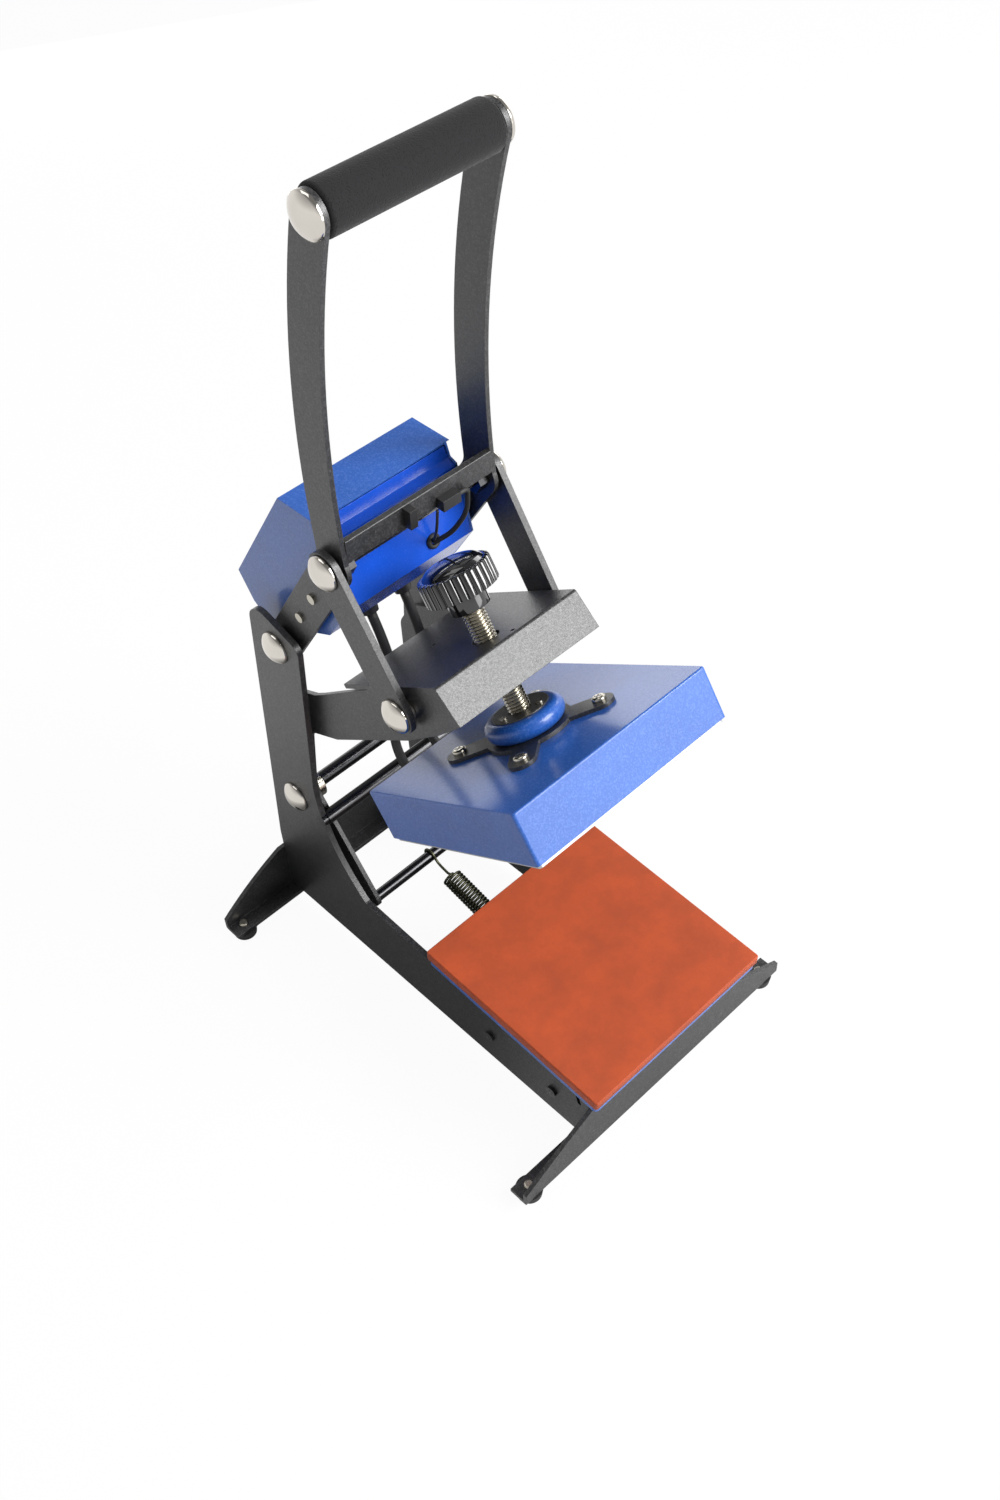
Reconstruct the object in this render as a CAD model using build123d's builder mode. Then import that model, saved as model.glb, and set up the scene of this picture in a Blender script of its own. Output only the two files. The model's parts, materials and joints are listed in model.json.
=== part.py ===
"""Mini label heat press, standing open.

Millimetres, +Z up. The operator stands at -Y and +X is the operator's right.
Points of a side view are (Y, Z), with Y measured from the middle of the silicone pad.
The files are written with their origin on the table under the middle of the press.
"""

import math
import os

from build123d import *

# Overall sizes
PAD_SIDE = 150.0
PAD_TOP_Z = 94.5
PAD_RISE = 3.73
FOOT_HEIGHT = 6.0
FRONT_WALL_Y = -59.4
REAR_WALL_Y = 247.7
LEG_HALF = 122.0

# Sheets and plates
FRAME_T = 4.0
FRAME_HALF = 63.0
LINK_T = 4.0
LINK_HALF = 62.0
BAR_T = 3.0
BAR_HALF = 56.0
ARM_T = 3.0
ARM_HALF = 54.0
LEG_T = 3.0
BOX_T = 1.5
BRACKET_T = 2.5

# Clearances
GAP = 0.3
FIT = 0.05
SEAT = 0.1

# Side view pivots
HANDLE_PIVOT = (201.1, 276.4)
LINK_TOP = (138.6, 372.0)
LINK_FOOT = (90.9, 295.8)
ARM_PIVOT = (212.8, 130.6)
SPRING_EYE = (157.0, 58.0)
STOP_ROD = (188.0, 124.5)
GRIP_AXIS = (115.0, 586.0)
BAR_BULGE = 10.9

# Pins, caps and rods
PIN_R = 4.0
AXLE_R = 5.0
STOP_ROD_R = 5.0
SPRING_ROD_R = 4.0
CAP_R = 11.0
CAP_HEIGHT = 6.6
CAP_RIM = 1.6
GRIP_CAP_R = 12.0
GRIP_CAP_HEIGHT = 6.4

# Frame plates
FRAME_HEAD_REAR = (222.0, 303.0)
FRAME_HEAD_FRONT = (178.0, 288.0)
FRAME_WAIST = (190.5, 156.0)
FRAME_SWEEP_MID = (179.0, 104.0)
FRAME_THROAT_Y = 152.0
FRAME_REAR_SLOPE = 0.0965
BASE_TOP_DROP = 37.8
BRACKET_SCREW_YZ = ((32.6, 33.7), (-24.5, 32.0))
TAB_HEIGHT = 9.0
TAB_LIFT = 4.0

# Leg bars, as (half width, height) above the flange's underside
FLANGE_DEPTH = 14.5
LEG_CROWN = 43.5
FRONT_LEG_SHOULDER = 60.0
REAR_LEG_SHOULDER = 67.0
LEG_TIP_HEIGHT = 11.0
FOOT_R = 9.0
FOOT_X = 112.0
FOOT_FROM_WALL = 6.9
FOOT_SCREW_R = 3.4

# Lower platen
PAD_T = 7.0
LOWER_PLATE_T = 6.0
LOWER_PLATE_INSET = 1.0
PAD_CORNER_R = 1.5
BRACKET_FRONT = -50.0
BRACKET_REAR = 64.0
BRACKET_FOOT_Z = 22.0

# Handle
BAR_W = 23.2
SHORT_ARM_W = 25.4
LINK_W = 24.8
ELBOW_FILLET = 12.0
FOAM_R = 13.2
GRIP_TUBE_R = 10.2
GRIP_TUBE_BORE = 8.8
FOAM_EDGE_R = 2.5
CROSS_BAR_FRONT_Y = 127.6
CROSS_BAR_TOP_Z = 394.0
CROSS_BAR_FACE = 15.0
CROSS_BAR_T = 4.0

# Control box side view
BOX_HALF = 49.9
BOX_TOP_FRONT = (158.5, 387.8)
BOX_TOP_REAR = (190.0, 387.8)
BOX_REAR = (247.3, 302.0)
BOX_REAR_LOW = (236.8, 283.6)
BOX_LOW = (221.9, 272.3)
BOX_BELLY = (161.0, 303.4)
BOX_CHIN = (143.4, 330.5)
BOX_BROW = (153.4, 374.5)
BOX_RECESS = (158.6, 376.5)
BOX_LIP = (161.6, 385.6)
BOX_SCREW_AT = (0.39, 0.64)
BOX_SCREW_R = 3.2

# Control panel on the sloping back, and the mains fittings in the right cheek
DISPLAY_AT = (0.0, 16.0)
DISPLAY_W = 62.0
DISPLAY_H = 28.0
BUTTON_X = (-22.0, 0.0, 22.0)
BUTTON_ROW = -18.0
BUTTON_R = 5.0
BUTTON_PROUD = 2.2
BUTTON_TRAVEL = 0.8
BOARD_DEPTH = 9.0
INLET_AT = (0.0, -27.0)
INLET_W = 27.0
INLET_H = 20.0
ROCKER_AT = (28.0, -27.0)
ROCKER_L = 15.0
ROCKER_W = 9.0
ROCKER_DEPTH = 0.0
ROCKER_PIN_R = 1.2
ROCKER_PIN_DEPTH = 1.5

# Tilted arm and heat platen: measured along and square to the platen's top
TILT = 33.2
PLATEN_TOP = (0.0, 48.4, 267.0)
PLATEN_HALF_X = 74.8
PLATEN_HALF_Y = 75.0
PLATEN_COVER_H = 33.0
PLATEN_CORNER_R = 2.0
HEAT_PLATE_T = 12.0
HEAT_PLATE_PROUD = 2.5
WEB_TOP = 61.5
WEB_FRONT = -21.0
WEB_REAR = 80.0
LIP_REACH = 6.2
LIP_DROP = 24.4
SPINDLE_R = 6.9
SPINDLE_TOP = 84.0
KNOB_R = 22.0
KNOB_HUB_R = 12.0
KNOB_FOOT = 80.5
KNOB_HUB_H = 10.0
KNOB_HEAD_H = 15.0
KNOB_DOME = 6.0
KNOB_LOBES = 16
KNOB_LOBE_R = 2.6
RING_R = 24.5
RING_H = 12.0
RING_TUBE_R = 5.5
DISC_R = 19.5
SPIDER_T = 2.5
SPIDER_REACH = 31.0
SPIDER_EAR_R = 8.5

# Lever's front edge, as a unit run up along it
LEVER_EDGE = (0.568, 0.823)

# Spring
COIL_OD = 14.8
WIRE = 1.9
COIL_TURNS = 22
COIL_PITCH = 2.42
SPRING_ANCHOR = (32.0, 27.0)
PLUG_SHANK_R = 2.3

# Limit switch and leads
SWITCH_X = 17.5
BLOCK_X = -10.5
GLAND_LENGTH = 15.0
LEAD_LOOP = (
    (0.1, 167.0, 224.0),
    (0.2, 172.0, 194.0),
    (0.35, 173.0, 166.0),
    (0.5, 158.0, 151.0),
    (0.65, 139.0, 151.0),
    (0.8, 126.0, 166.0),
    (0.9, 124.0, 187.0),
)
LEAD_R = 3.2
SENSOR_LEAD_R = 1.5

sin_t = math.sin(math.radians(TILT))
cos_t = math.cos(math.radians(TILT))
arm_plane = Plane(origin=PLATEN_TOP, x_dir=(1, 0, 0), z_dir=(0, sin_t, cos_t))

flange_z = FOOT_HEIGHT
flange_top = FOOT_HEIGHT + LEG_T
front_inner = FRONT_WALL_Y + LEG_T
rear_inner = REAR_WALL_Y - LEG_T
frame_inner = FRAME_HALF - FRAME_T
link_inner = LINK_HALF - LINK_T
bar_inner = BAR_HALF - BAR_T
arm_inner = ARM_HALF - ARM_T
rise = math.tan(math.radians(PAD_RISE))
pad_plane = Plane(
    origin=(0, 0, PAD_TOP_Z),
    x_dir=(1, 0, 0),
    z_dir=(0, -math.sin(math.radians(PAD_RISE)), math.cos(math.radians(PAD_RISE))),
)

os.makedirs("parts", exist_ok=True)


rear_edge = REAR_WALL_Y - (FOOT_FROM_WALL + 1) + FOOT_R
front_edge = -PAD_SIDE / 2 * math.cos(math.radians(PAD_RISE))
middle_y = (rear_edge + front_edge) / 2


def save(part, label):
    """Name a finished piece, measure it from the press's middle and write its file."""
    placed = part.moved(Location((0, -middle_y, 0)))
    placed.label = label
    export_step(placed, f"parts/{label}.step")


def base_top(y):
    """Height of the base's sloping top edge."""
    return PAD_TOP_Z - BASE_TOP_DROP + rise * y


def in_arm(x, y, z):
    """Point given in the tilted arm plane."""
    return arm_plane.from_local_coords((x, y, z))


def arm_height(point):
    """Height of a point above the platen's top, square to it."""
    return arm_plane.to_local_coords(point).Z


def arm_side(y, z):
    """Side view point (Y, Z) of a place along and above the platen's top."""
    point = in_arm(0, y, z)
    return (point.Y, point.Z)


def side_plane(inner, side):
    """Plane of a side plate's inner face, facing outwards."""
    return Plane.YZ.offset(inner) if side > 0 else Plane.YZ.offset(-inner)


def near(shapes, y, z):
    """The vertex of a side view sketch nearest to a point."""
    return shapes.sort_by_distance((y, z, 0))[0]


def join(*groups):
    """Put several groups of loose pieces in one node."""
    with BuildPart() as both:
        for group in groups:
            add(group)
    return both.part


def straight_slot(start, end, width):
    """Draw a round-ended straight bar between two points of the current sketch."""
    run = (end[0] - start[0], end[1] - start[1])
    with Locations(((start[0] + end[0]) / 2, (start[1] + end[1]) / 2)):
        SlotCenterToCenter(math.hypot(*run), width, rotation=math.degrees(math.atan2(run[1], run[0])))


def pair(make, label):
    """Write the left and right pieces of a mirrored pair."""
    save(make(-1), f"{label}_left")
    save(make(1), f"{label}_right")


# Frame plates
def make_frame_plate(side):
    """One L-shaped side plate, with its pivot holes and end tabs."""
    rear_knee_z = FRAME_HEAD_REAR[1] - (rear_inner - FRAME_HEAD_REAR[0]) / FRAME_REAR_SLOPE
    throat = (FRAME_THROAT_Y, base_top(FRAME_THROAT_Y))
    with BuildPart() as plate:
        with BuildSketch(side_plane(frame_inner, side)) as outline:
            with BuildLine():
                Polyline(
                    throat,
                    (front_inner, base_top(front_inner)),
                    (front_inner, flange_top),
                    (rear_inner, flange_top),
                    (rear_inner, rear_knee_z),
                    FRAME_HEAD_REAR,
                    FRAME_HEAD_FRONT,
                    FRAME_WAIST,
                )
                ThreePointArc(FRAME_WAIST, FRAME_SWEEP_MID, throat)
            make_face()
            fillet(near(outline.vertices(), *FRAME_HEAD_REAR), 12)
            fillet(near(outline.vertices(), *FRAME_HEAD_FRONT), 8)
            fillet(near(outline.vertices(), rear_inner, rear_knee_z), 20)
            fillet(near(outline.vertices(), *throat), 6)
            with Locations((front_inner, flange_top + TAB_LIFT), (rear_inner, flange_top + TAB_LIFT)):
                Rectangle(2 * LEG_T, TAB_HEIGHT, align=(Align.CENTER, Align.MIN))
            with Locations(HANDLE_PIVOT, ARM_PIVOT):
                Circle(AXLE_R + FIT, mode=Mode.SUBTRACT)
            with Locations(STOP_ROD):
                Circle(STOP_ROD_R - 1 + FIT, mode=Mode.SUBTRACT)
            with Locations(*BRACKET_SCREW_YZ):
                Circle(2.0 + GAP, mode=Mode.SUBTRACT)
            with Locations((-47.7, base_top(-47.7) - 6)):
                SlotOverall(9, 3, rotation=75, mode=Mode.SUBTRACT)
        extrude(amount=FRAME_T * side)
    return plate.part


# Leg bars
def make_leg_bar(wall_y, inward, shoulder, bow):
    """An L-section leg bar whose wall tapers down to its two tips."""
    crown = flange_z + LEG_CROWN
    tip = flange_z + LEG_TIP_HEIGHT
    mid = ((shoulder + LEG_HALF) / 2, (crown + tip) / 2 + bow)
    with BuildPart() as bar:
        with BuildSketch(Plane.XZ.offset(-wall_y)):
            with BuildLine():
                Line((shoulder, crown), (-shoulder, crown))
                ThreePointArc((-shoulder, crown), (-mid[0], mid[1]), (-LEG_HALF, tip))
                Polyline((-LEG_HALF, tip), (-LEG_HALF, flange_z), (LEG_HALF, flange_z), (LEG_HALF, tip))
                ThreePointArc((LEG_HALF, tip), mid, (shoulder, crown))
            make_face()
            for side in (-1, 1):
                with Locations((side * (frame_inner + FRAME_T / 2), flange_top + TAB_LIFT)):
                    Rectangle(
                        FRAME_T + 2 * SEAT,
                        TAB_HEIGHT + 2 * SEAT,
                        align=(Align.CENTER, Align.MIN),
                        mode=Mode.SUBTRACT,
                    )
        extrude(amount=-inward * LEG_T)
        with BuildSketch(Plane.XY.offset(flange_z)):
            with Locations((0, wall_y + inward * FLANGE_DEPTH / 2)):
                Rectangle(2 * LEG_HALF, FLANGE_DEPTH)
            with Locations(*[(s * FOOT_X, wall_y + inward * (FOOT_FROM_WALL + 1)) for s in (-1, 1)]):
                Circle(2.2, mode=Mode.SUBTRACT)
        extrude(amount=LEG_T)
        corner = bar.edges().filter_by(Axis.X).sort_by_distance((0, wall_y, flange_z))[0]
        fillet(corner, 2.2)
    return bar.part


foot_centres = [
    (side * FOOT_X, wall_y + inward * (FOOT_FROM_WALL + 1))
    for wall_y, inward in ((FRONT_WALL_Y, 1), (REAR_WALL_Y, -1))
    for side in (-1, 1)
]


def make_rubber_feet():
    """Four round rubber feet with a sunk screw seat."""
    with BuildPart() as feet:
        for x, y in foot_centres:
            with BuildSketch():
                with Locations((x, y)):
                    Circle(FOOT_R - 0.8)
            with BuildSketch(Plane.XY.offset(FOOT_HEIGHT)):
                with Locations((x, y)):
                    Circle(FOOT_R)
            loft()
        with BuildSketch():
            with Locations(*foot_centres):
                Circle(4.0)
        extrude(amount=2.5, mode=Mode.SUBTRACT)
        with BuildSketch():
            with Locations(*foot_centres):
                Circle(2.0 + FIT)
        extrude(amount=FOOT_HEIGHT, mode=Mode.SUBTRACT)
    return feet.part


def make_foot_screws():
    """Pan head screws through the flanges into the feet."""
    with BuildPart() as screws:
        with BuildSketch(Plane.XY.offset(2.5)):
            with Locations(*foot_centres):
                Circle(2.0)
        extrude(amount=flange_top - 2.5 + 0.5)
        with BuildSketch(Plane.XY.offset(flange_top)):
            with Locations(*foot_centres):
                Circle(FOOT_SCREW_R)
        extrude(amount=2.0)
        with BuildSketch(Plane.XY.offset(1.2)):
            with Locations(*foot_centres):
                RegularPolygon(3.5, 6)
        extrude(amount=1.3)
        heads = screws.edges().filter_by(GeomType.CIRCLE).group_by(Axis.Z)[-1]
        fillet(heads, 1.0)
    return screws.part


# Lower platen
def make_lower_platen():
    """Blue steel plate under the pad, screwed down on the bracket."""
    side = PAD_SIDE - 2 * LOWER_PLATE_INSET
    with BuildPart() as plate:
        with BuildSketch(pad_plane.offset(-PAD_T)):
            RectangleRounded(side, side, 3)
        extrude(amount=-LOWER_PLATE_T)
    return plate.part


def make_silicone_pad():
    """Flat silicone rubber pad with slightly eased edges."""
    with BuildPart() as pad:
        with BuildSketch(pad_plane):
            RectangleRounded(PAD_SIDE, PAD_SIDE, PAD_CORNER_R)
        extrude(amount=-PAD_T)
        top = pad.faces().sort_by(Axis.Z)[-1]
        fillet(top.edges(), 0.8)
    return pad.part


def make_platen_bracket():
    """Channel between the frame plates that carries the lower platen."""
    half = frame_inner - SEAT
    top_front = pad_height(BRACKET_FRONT)
    top_rear = pad_height(BRACKET_REAR)
    with BuildPart() as bracket:
        with BuildSketch(Plane.YZ.offset(-half)):
            with BuildLine():
                Polyline(
                    (BRACKET_FRONT, BRACKET_FOOT_Z),
                    (BRACKET_REAR, BRACKET_FOOT_Z),
                    (BRACKET_REAR, top_rear),
                    (BRACKET_FRONT, top_front),
                    close=True,
                )
            make_face()
        extrude(amount=2 * half)
        with BuildSketch(Plane.YZ.offset(-half + BRACKET_T)):
            with BuildLine():
                Polyline(
                    (BRACKET_FRONT - 1, BRACKET_FOOT_Z - 1),
                    (BRACKET_REAR + 1, BRACKET_FOOT_Z - 1),
                    (BRACKET_REAR + 1, pad_height(BRACKET_REAR + 1) - BRACKET_T),
                    (BRACKET_FRONT - 1, pad_height(BRACKET_FRONT - 1) - BRACKET_T),
                    close=True,
                )
            make_face()
        extrude(amount=2 * (half - BRACKET_T), mode=Mode.SUBTRACT)
        with BuildSketch(Plane.YZ.offset(-half)):
            with Locations(*BRACKET_SCREW_YZ):
                Circle(2.0 + FIT)
            with Locations(SPRING_ANCHOR):
                Circle(3.0 + FIT)
        extrude(amount=2 * half, mode=Mode.SUBTRACT)
    return bracket.part


def pad_height(y):
    """Height of the lower platen's underside."""
    return PAD_TOP_Z - (PAD_T + LOWER_PLATE_T) / math.cos(math.radians(PAD_RISE)) + rise * y


def make_bracket_screws():
    """Black cross-head screws that hold the bracket to the frame plates."""
    with BuildPart() as screws:
        for side in (-1, 1):
            with BuildSketch(side_plane(FRAME_HALF, side)):
                with Locations(*BRACKET_SCREW_YZ):
                    Circle(3.9)
            extrude(amount=1.9 * side)
            with BuildSketch(side_plane(frame_inner - 5, side)):
                with Locations(*BRACKET_SCREW_YZ):
                    Circle(2.0)
            extrude(amount=(FRAME_T + 5) * side)
    return screws.part


# Axles, caps and spacers
def make_rod(centre, radius, half, end_radius=None, end_half=None):
    """Round rod across the press, with turned-down ends where given."""
    with BuildPart() as rod:
        with BuildSketch(Plane.YZ.offset(-half)):
            with Locations(centre):
                Circle(radius)
        extrude(amount=2 * half)
        if end_radius:
            with BuildSketch(Plane.YZ.offset(-end_half)):
                with Locations(centre):
                    Circle(end_radius)
            extrude(amount=2 * end_half)
    return rod.part


def make_dome(radius, height):
    """Shallow turned dome cap standing on the XY plane."""
    dome_r = (radius**2 + (height - CAP_RIM) ** 2) / (2 * (height - CAP_RIM))
    shoulder = height - dome_r + math.sqrt(dome_r**2 - radius**2 / 4)
    with BuildPart() as dome:
        with BuildSketch(Plane.XZ):
            with BuildLine():
                ThreePointArc((0, height), (radius / 2, shoulder), (radius, CAP_RIM))
                Polyline((radius, CAP_RIM), (radius, 0), (0, 0), (0, height))
            make_face()
        revolve(axis=Axis.Z)
    return dome.part


def make_caps(places, half, radius, height, shank=0.0):
    """Domed chrome caps, one on each side of each place, on a bolt shank where given."""
    dome = make_dome(radius, height)
    with BuildPart() as caps:
        for centre in places:
            for side in (-1, 1):
                seat = Plane(origin=(side * half, *centre), x_dir=(0, 1, 0), z_dir=(side, 0, 0))
                add(dome.moved(seat.location))
                if shank:
                    with BuildSketch(seat):
                        Circle(PIN_R)
                    extrude(amount=-shank)
    return caps.part


def make_washers(places, inner, outer, bore, radius):
    """Flat washers and sleeves between neighbouring plates."""
    with BuildPart() as washers:
        for side in (-1, 1):
            with BuildSketch(side_plane(inner, side)):
                for centre in places:
                    with Locations(centre):
                        Circle(radius)
                        Circle(bore, mode=Mode.SUBTRACT)
            extrude(amount=(outer - inner) * side)
    return washers.part


# Handle
def make_handle_bar(side):
    """Bowed grip bar and short pivot arm, cut from one plate."""
    mid_y = (LINK_TOP[0] + GRIP_AXIS[0]) / 2
    mid_z = (LINK_TOP[1] + GRIP_AXIS[1]) / 2
    run = math.hypot(GRIP_AXIS[0] - LINK_TOP[0], GRIP_AXIS[1] - LINK_TOP[1])
    bow = (
        mid_y + BAR_BULGE * (GRIP_AXIS[1] - LINK_TOP[1]) / run,
        mid_z - BAR_BULGE * (GRIP_AXIS[0] - LINK_TOP[0]) / run,
    )
    with BuildPart() as bar:
        with BuildSketch(side_plane(bar_inner, side)) as outline:
            with BuildLine() as spine:
                ThreePointArc(LINK_TOP, bow, GRIP_AXIS)
            SlotArc(spine.edge(), BAR_W)
            straight_slot(HANDLE_PIVOT, LINK_TOP, SHORT_ARM_W)
            crotch = near(outline.vertices(), LINK_TOP[0] + 16, LINK_TOP[1] + 4)
            fillet(crotch, ELBOW_FILLET)
            with Locations(HANDLE_PIVOT):
                Circle(AXLE_R + FIT, mode=Mode.SUBTRACT)
            with Locations(LINK_TOP):
                Circle(4.0 + FIT, mode=Mode.SUBTRACT)
            with Locations(GRIP_AXIS):
                Circle(4.0 + FIT, mode=Mode.SUBTRACT)
            with Locations(*box_screw_places()):
                Circle(1.6 + FIT, mode=Mode.SUBTRACT)
        extrude(amount=BAR_T * side)
    return bar.part


def box_screw_places():
    """Where the control box is screwed to the short arms."""
    return [
        (
            LINK_TOP[0] + share * (HANDLE_PIVOT[0] - LINK_TOP[0]),
            LINK_TOP[1] + share * (HANDLE_PIVOT[1] - LINK_TOP[1]),
        )
        for share in BOX_SCREW_AT
    ]


def make_grip_tube():
    """Steel tube between the bars that carries the foam grip."""
    half = bar_inner
    with BuildPart() as tube:
        with BuildSketch(Plane.YZ.offset(-half)):
            with Locations(GRIP_AXIS):
                Circle(GRIP_TUBE_R)
                Circle(GRIP_TUBE_BORE, mode=Mode.SUBTRACT)
        extrude(amount=2 * half)
        for side in (-1, 1):
            with BuildSketch(side_plane(half - 6, side)):
                with Locations(GRIP_AXIS):
                    Circle(GRIP_TUBE_BORE)
                    Circle(4.0 + FIT, mode=Mode.SUBTRACT)
            extrude(amount=6 * side)
    return tube.part


def make_foam_grip():
    """Foam sleeve with softly rounded ends."""
    half = bar_inner - 0.4
    with BuildPart() as foam:
        with BuildSketch(Plane.YZ.offset(-half)):
            with Locations(GRIP_AXIS):
                Circle(FOAM_R)
                Circle(GRIP_TUBE_R + FIT, mode=Mode.SUBTRACT)
        extrude(amount=2 * half)
        ends = foam.edges().filter_by(GeomType.CIRCLE).sort_by(lambda e: -e.radius)[:2]
        fillet(ends, FOAM_EDGE_R)
    return foam.part


def make_cross_bar():
    """Flat bar between the handle bars above the link rod."""
    half = bar_inner
    with BuildPart() as bar:
        with BuildSketch(Plane.YZ.offset(-half)):
            with Locations((CROSS_BAR_FRONT_Y, CROSS_BAR_TOP_Z)):
                Rectangle(CROSS_BAR_T, CROSS_BAR_FACE, align=(Align.MIN, Align.MAX))
        extrude(amount=2 * half)
        long_edges = bar.edges().filter_by(Axis.X)
        fillet(long_edges, 0.6)
    return bar.part


def make_rod_nuts(centre, inner_face, across, thickness):
    """Hexagon nuts that clamp a rod against the plates."""
    with BuildPart() as nuts:
        for side in (-1, 1):
            with BuildSketch(side_plane(inner_face - thickness, side)):
                with Locations(centre):
                    RegularPolygon(across / 2, 6, major_radius=False)
                    Circle(4.0 + FIT, mode=Mode.SUBTRACT)
            extrude(amount=thickness * side)
    return nuts.part


# Control box
def make_box_cover():
    """Blue bent cover: top, sloping back, rear and two cheeks."""
    profile = [
        BOX_TOP_FRONT,
        BOX_TOP_REAR,
        BOX_REAR,
        BOX_REAR_LOW,
        BOX_LOW,
        BOX_BELLY,
        BOX_CHIN,
        BOX_BROW,
        BOX_RECESS,
        BOX_LIP,
    ]
    with BuildPart() as cover:
        with BuildSketch(Plane.YZ.offset(-BOX_HALF)):
            with BuildLine():
                Polyline(*profile, close=True)
            make_face()
        extrude(amount=2 * BOX_HALF)
        with BuildSketch(Plane.YZ.offset(-BOX_HALF + BOX_T)) as hollow:
            with BuildLine():
                Polyline(*profile, close=True)
            make_face()
            offset(amount=-BOX_T, kind=Kind.INTERSECTION)
            with BuildLine():
                Polyline(
                    (BOX_LIP[0], BOX_LIP[1] - BOX_T),
                    (BOX_LIP[0] - 30, BOX_LIP[1] - BOX_T),
                    (BOX_CHIN[0] - 20, BOX_BELLY[1] - 40),
                    (BOX_LOW[0], BOX_LOW[1] - 20),
                    (BOX_LOW[0] - 1.5, BOX_LOW[1] + 6),
                    ((BOX_BROW[0] + BOX_REAR[0]) / 2, BOX_BROW[1] - 40),
                    close=True,
                )
            make_face()
        extrude(amount=2 * (BOX_HALF - BOX_T), mode=Mode.SUBTRACT)
        with BuildSketch(panel_plane.offset(1)):
            with Locations(DISPLAY_AT):
                Rectangle(DISPLAY_W + 2 * SEAT, DISPLAY_H + 2 * SEAT)
            with Locations(*[(x, BUTTON_ROW) for x in BUTTON_X]):
                Circle(BUTTON_R + GAP)
        extrude(amount=-BOX_T - 2, mode=Mode.SUBTRACT)
        with BuildSketch(cheek_plane.offset(1)):
            with Locations(INLET_AT):
                RectangleRounded(INLET_W + 2 * SEAT, INLET_H + 2 * SEAT, 2)
            with Locations(ROCKER_AT):
                Rectangle(ROCKER_L + 3 + 2 * SEAT, ROCKER_W + 3 + 2 * SEAT)
        extrude(amount=-BOX_T - 2, mode=Mode.SUBTRACT)
    return cover.part


def make_box_panel():
    """Blue bent panel that closes the box in front and below."""
    half = BOX_HALF - BOX_T - SEAT
    inset = BOX_T / 2 + SEAT
    with BuildPart() as panel:
        with BuildSketch(Plane.YZ.offset(-half)):
            with BuildLine() as run:
                Polyline(
                    (BOX_LIP[0] + inset, BOX_LIP[1] - 2 * BOX_T),
                    (BOX_RECESS[0] + inset, BOX_RECESS[1] - inset),
                    (BOX_BROW[0] + inset, BOX_BROW[1] - 2 * inset),
                    (BOX_CHIN[0] + inset, BOX_CHIN[1]),
                    (BOX_BELLY[0] + inset / 2, BOX_BELLY[1] + inset),
                    (BOX_LOW[0] - 2.2, BOX_LOW[1] + 1.4 + inset),
                )
            trace(run.line, BOX_T)
        extrude(amount=2 * half)
        for x, share in gland_places:
            spot = belly_point(share)
            with Locations(Plane(origin=(x, *spot), x_dir=(1, 0, 0), z_dir=belly_normal)):
                Cylinder(6.0 + FIT, 12, mode=Mode.SUBTRACT)
    return panel.part


belly_run = math.hypot(BOX_LOW[0] - BOX_BELLY[0], BOX_LOW[1] - BOX_BELLY[1])
belly_normal = (
    0,
    (BOX_LOW[1] - BOX_BELLY[1]) / belly_run,
    -(BOX_LOW[0] - BOX_BELLY[0]) / belly_run,
)
gland_places = ((-2.0, 0.5), (25.0, 0.5))


def belly_point(share):
    """Point of the box's sloping underside."""
    return (
        BOX_BELLY[0] + share * (BOX_LOW[0] - BOX_BELLY[0]),
        BOX_BELLY[1] + share * (BOX_LOW[1] - BOX_BELLY[1]),
    )


def make_cable_glands():
    """Two screwed glands under the box, each with a collar, a body and a domed nut."""
    with BuildPart() as glands:
        for x, share in gland_places:
            plane = Plane(origin=(x, *belly_point(share)), x_dir=(1, 0, 0), z_dir=belly_normal)
            with BuildSketch(plane.offset(-5)):
                Circle(6.0)
            extrude(amount=5)
            with BuildSketch(plane):
                RegularPolygon(8.0, 6)
            extrude(amount=4)
            with BuildSketch(plane.offset(4)):
                Circle(7.0)
            extrude(amount=11, taper=8)
            with BuildSketch(plane.offset(-5)):
                Circle(LEAD_R + FIT)
            extrude(amount=20, mode=Mode.SUBTRACT)
    return glands.part


panel_mid = ((BOX_TOP_REAR[0] + BOX_REAR[0]) / 2, (BOX_TOP_REAR[1] + BOX_REAR[1]) / 2)
panel_run = math.hypot(BOX_REAR[0] - BOX_TOP_REAR[0], BOX_REAR[1] - BOX_TOP_REAR[1])
panel_plane = Plane(
    origin=(0, *panel_mid),
    x_dir=(1, 0, 0),
    z_dir=(0, (BOX_TOP_REAR[1] - BOX_REAR[1]) / panel_run, (BOX_REAR[0] - BOX_TOP_REAR[0]) / panel_run),
)
short_run = math.hypot(LINK_TOP[0] - HANDLE_PIVOT[0], LINK_TOP[1] - HANDLE_PIVOT[1])
cheek_plane = Plane(
    origin=(BOX_HALF, (HANDLE_PIVOT[0] + LINK_TOP[0]) / 2, (HANDLE_PIVOT[1] + LINK_TOP[1]) / 2),
    x_dir=(0, (LINK_TOP[0] - HANDLE_PIVOT[0]) / short_run, (LINK_TOP[1] - HANDLE_PIVOT[1]) / short_run),
    z_dir=(1, 0, 0),
)


rocker_axis = Plane(
    origin=cheek_plane.from_local_coords((*ROCKER_AT, -ROCKER_PIN_DEPTH)),
    x_dir=cheek_plane.x_dir,
    z_dir=cheek_plane.y_dir,
)


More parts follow.
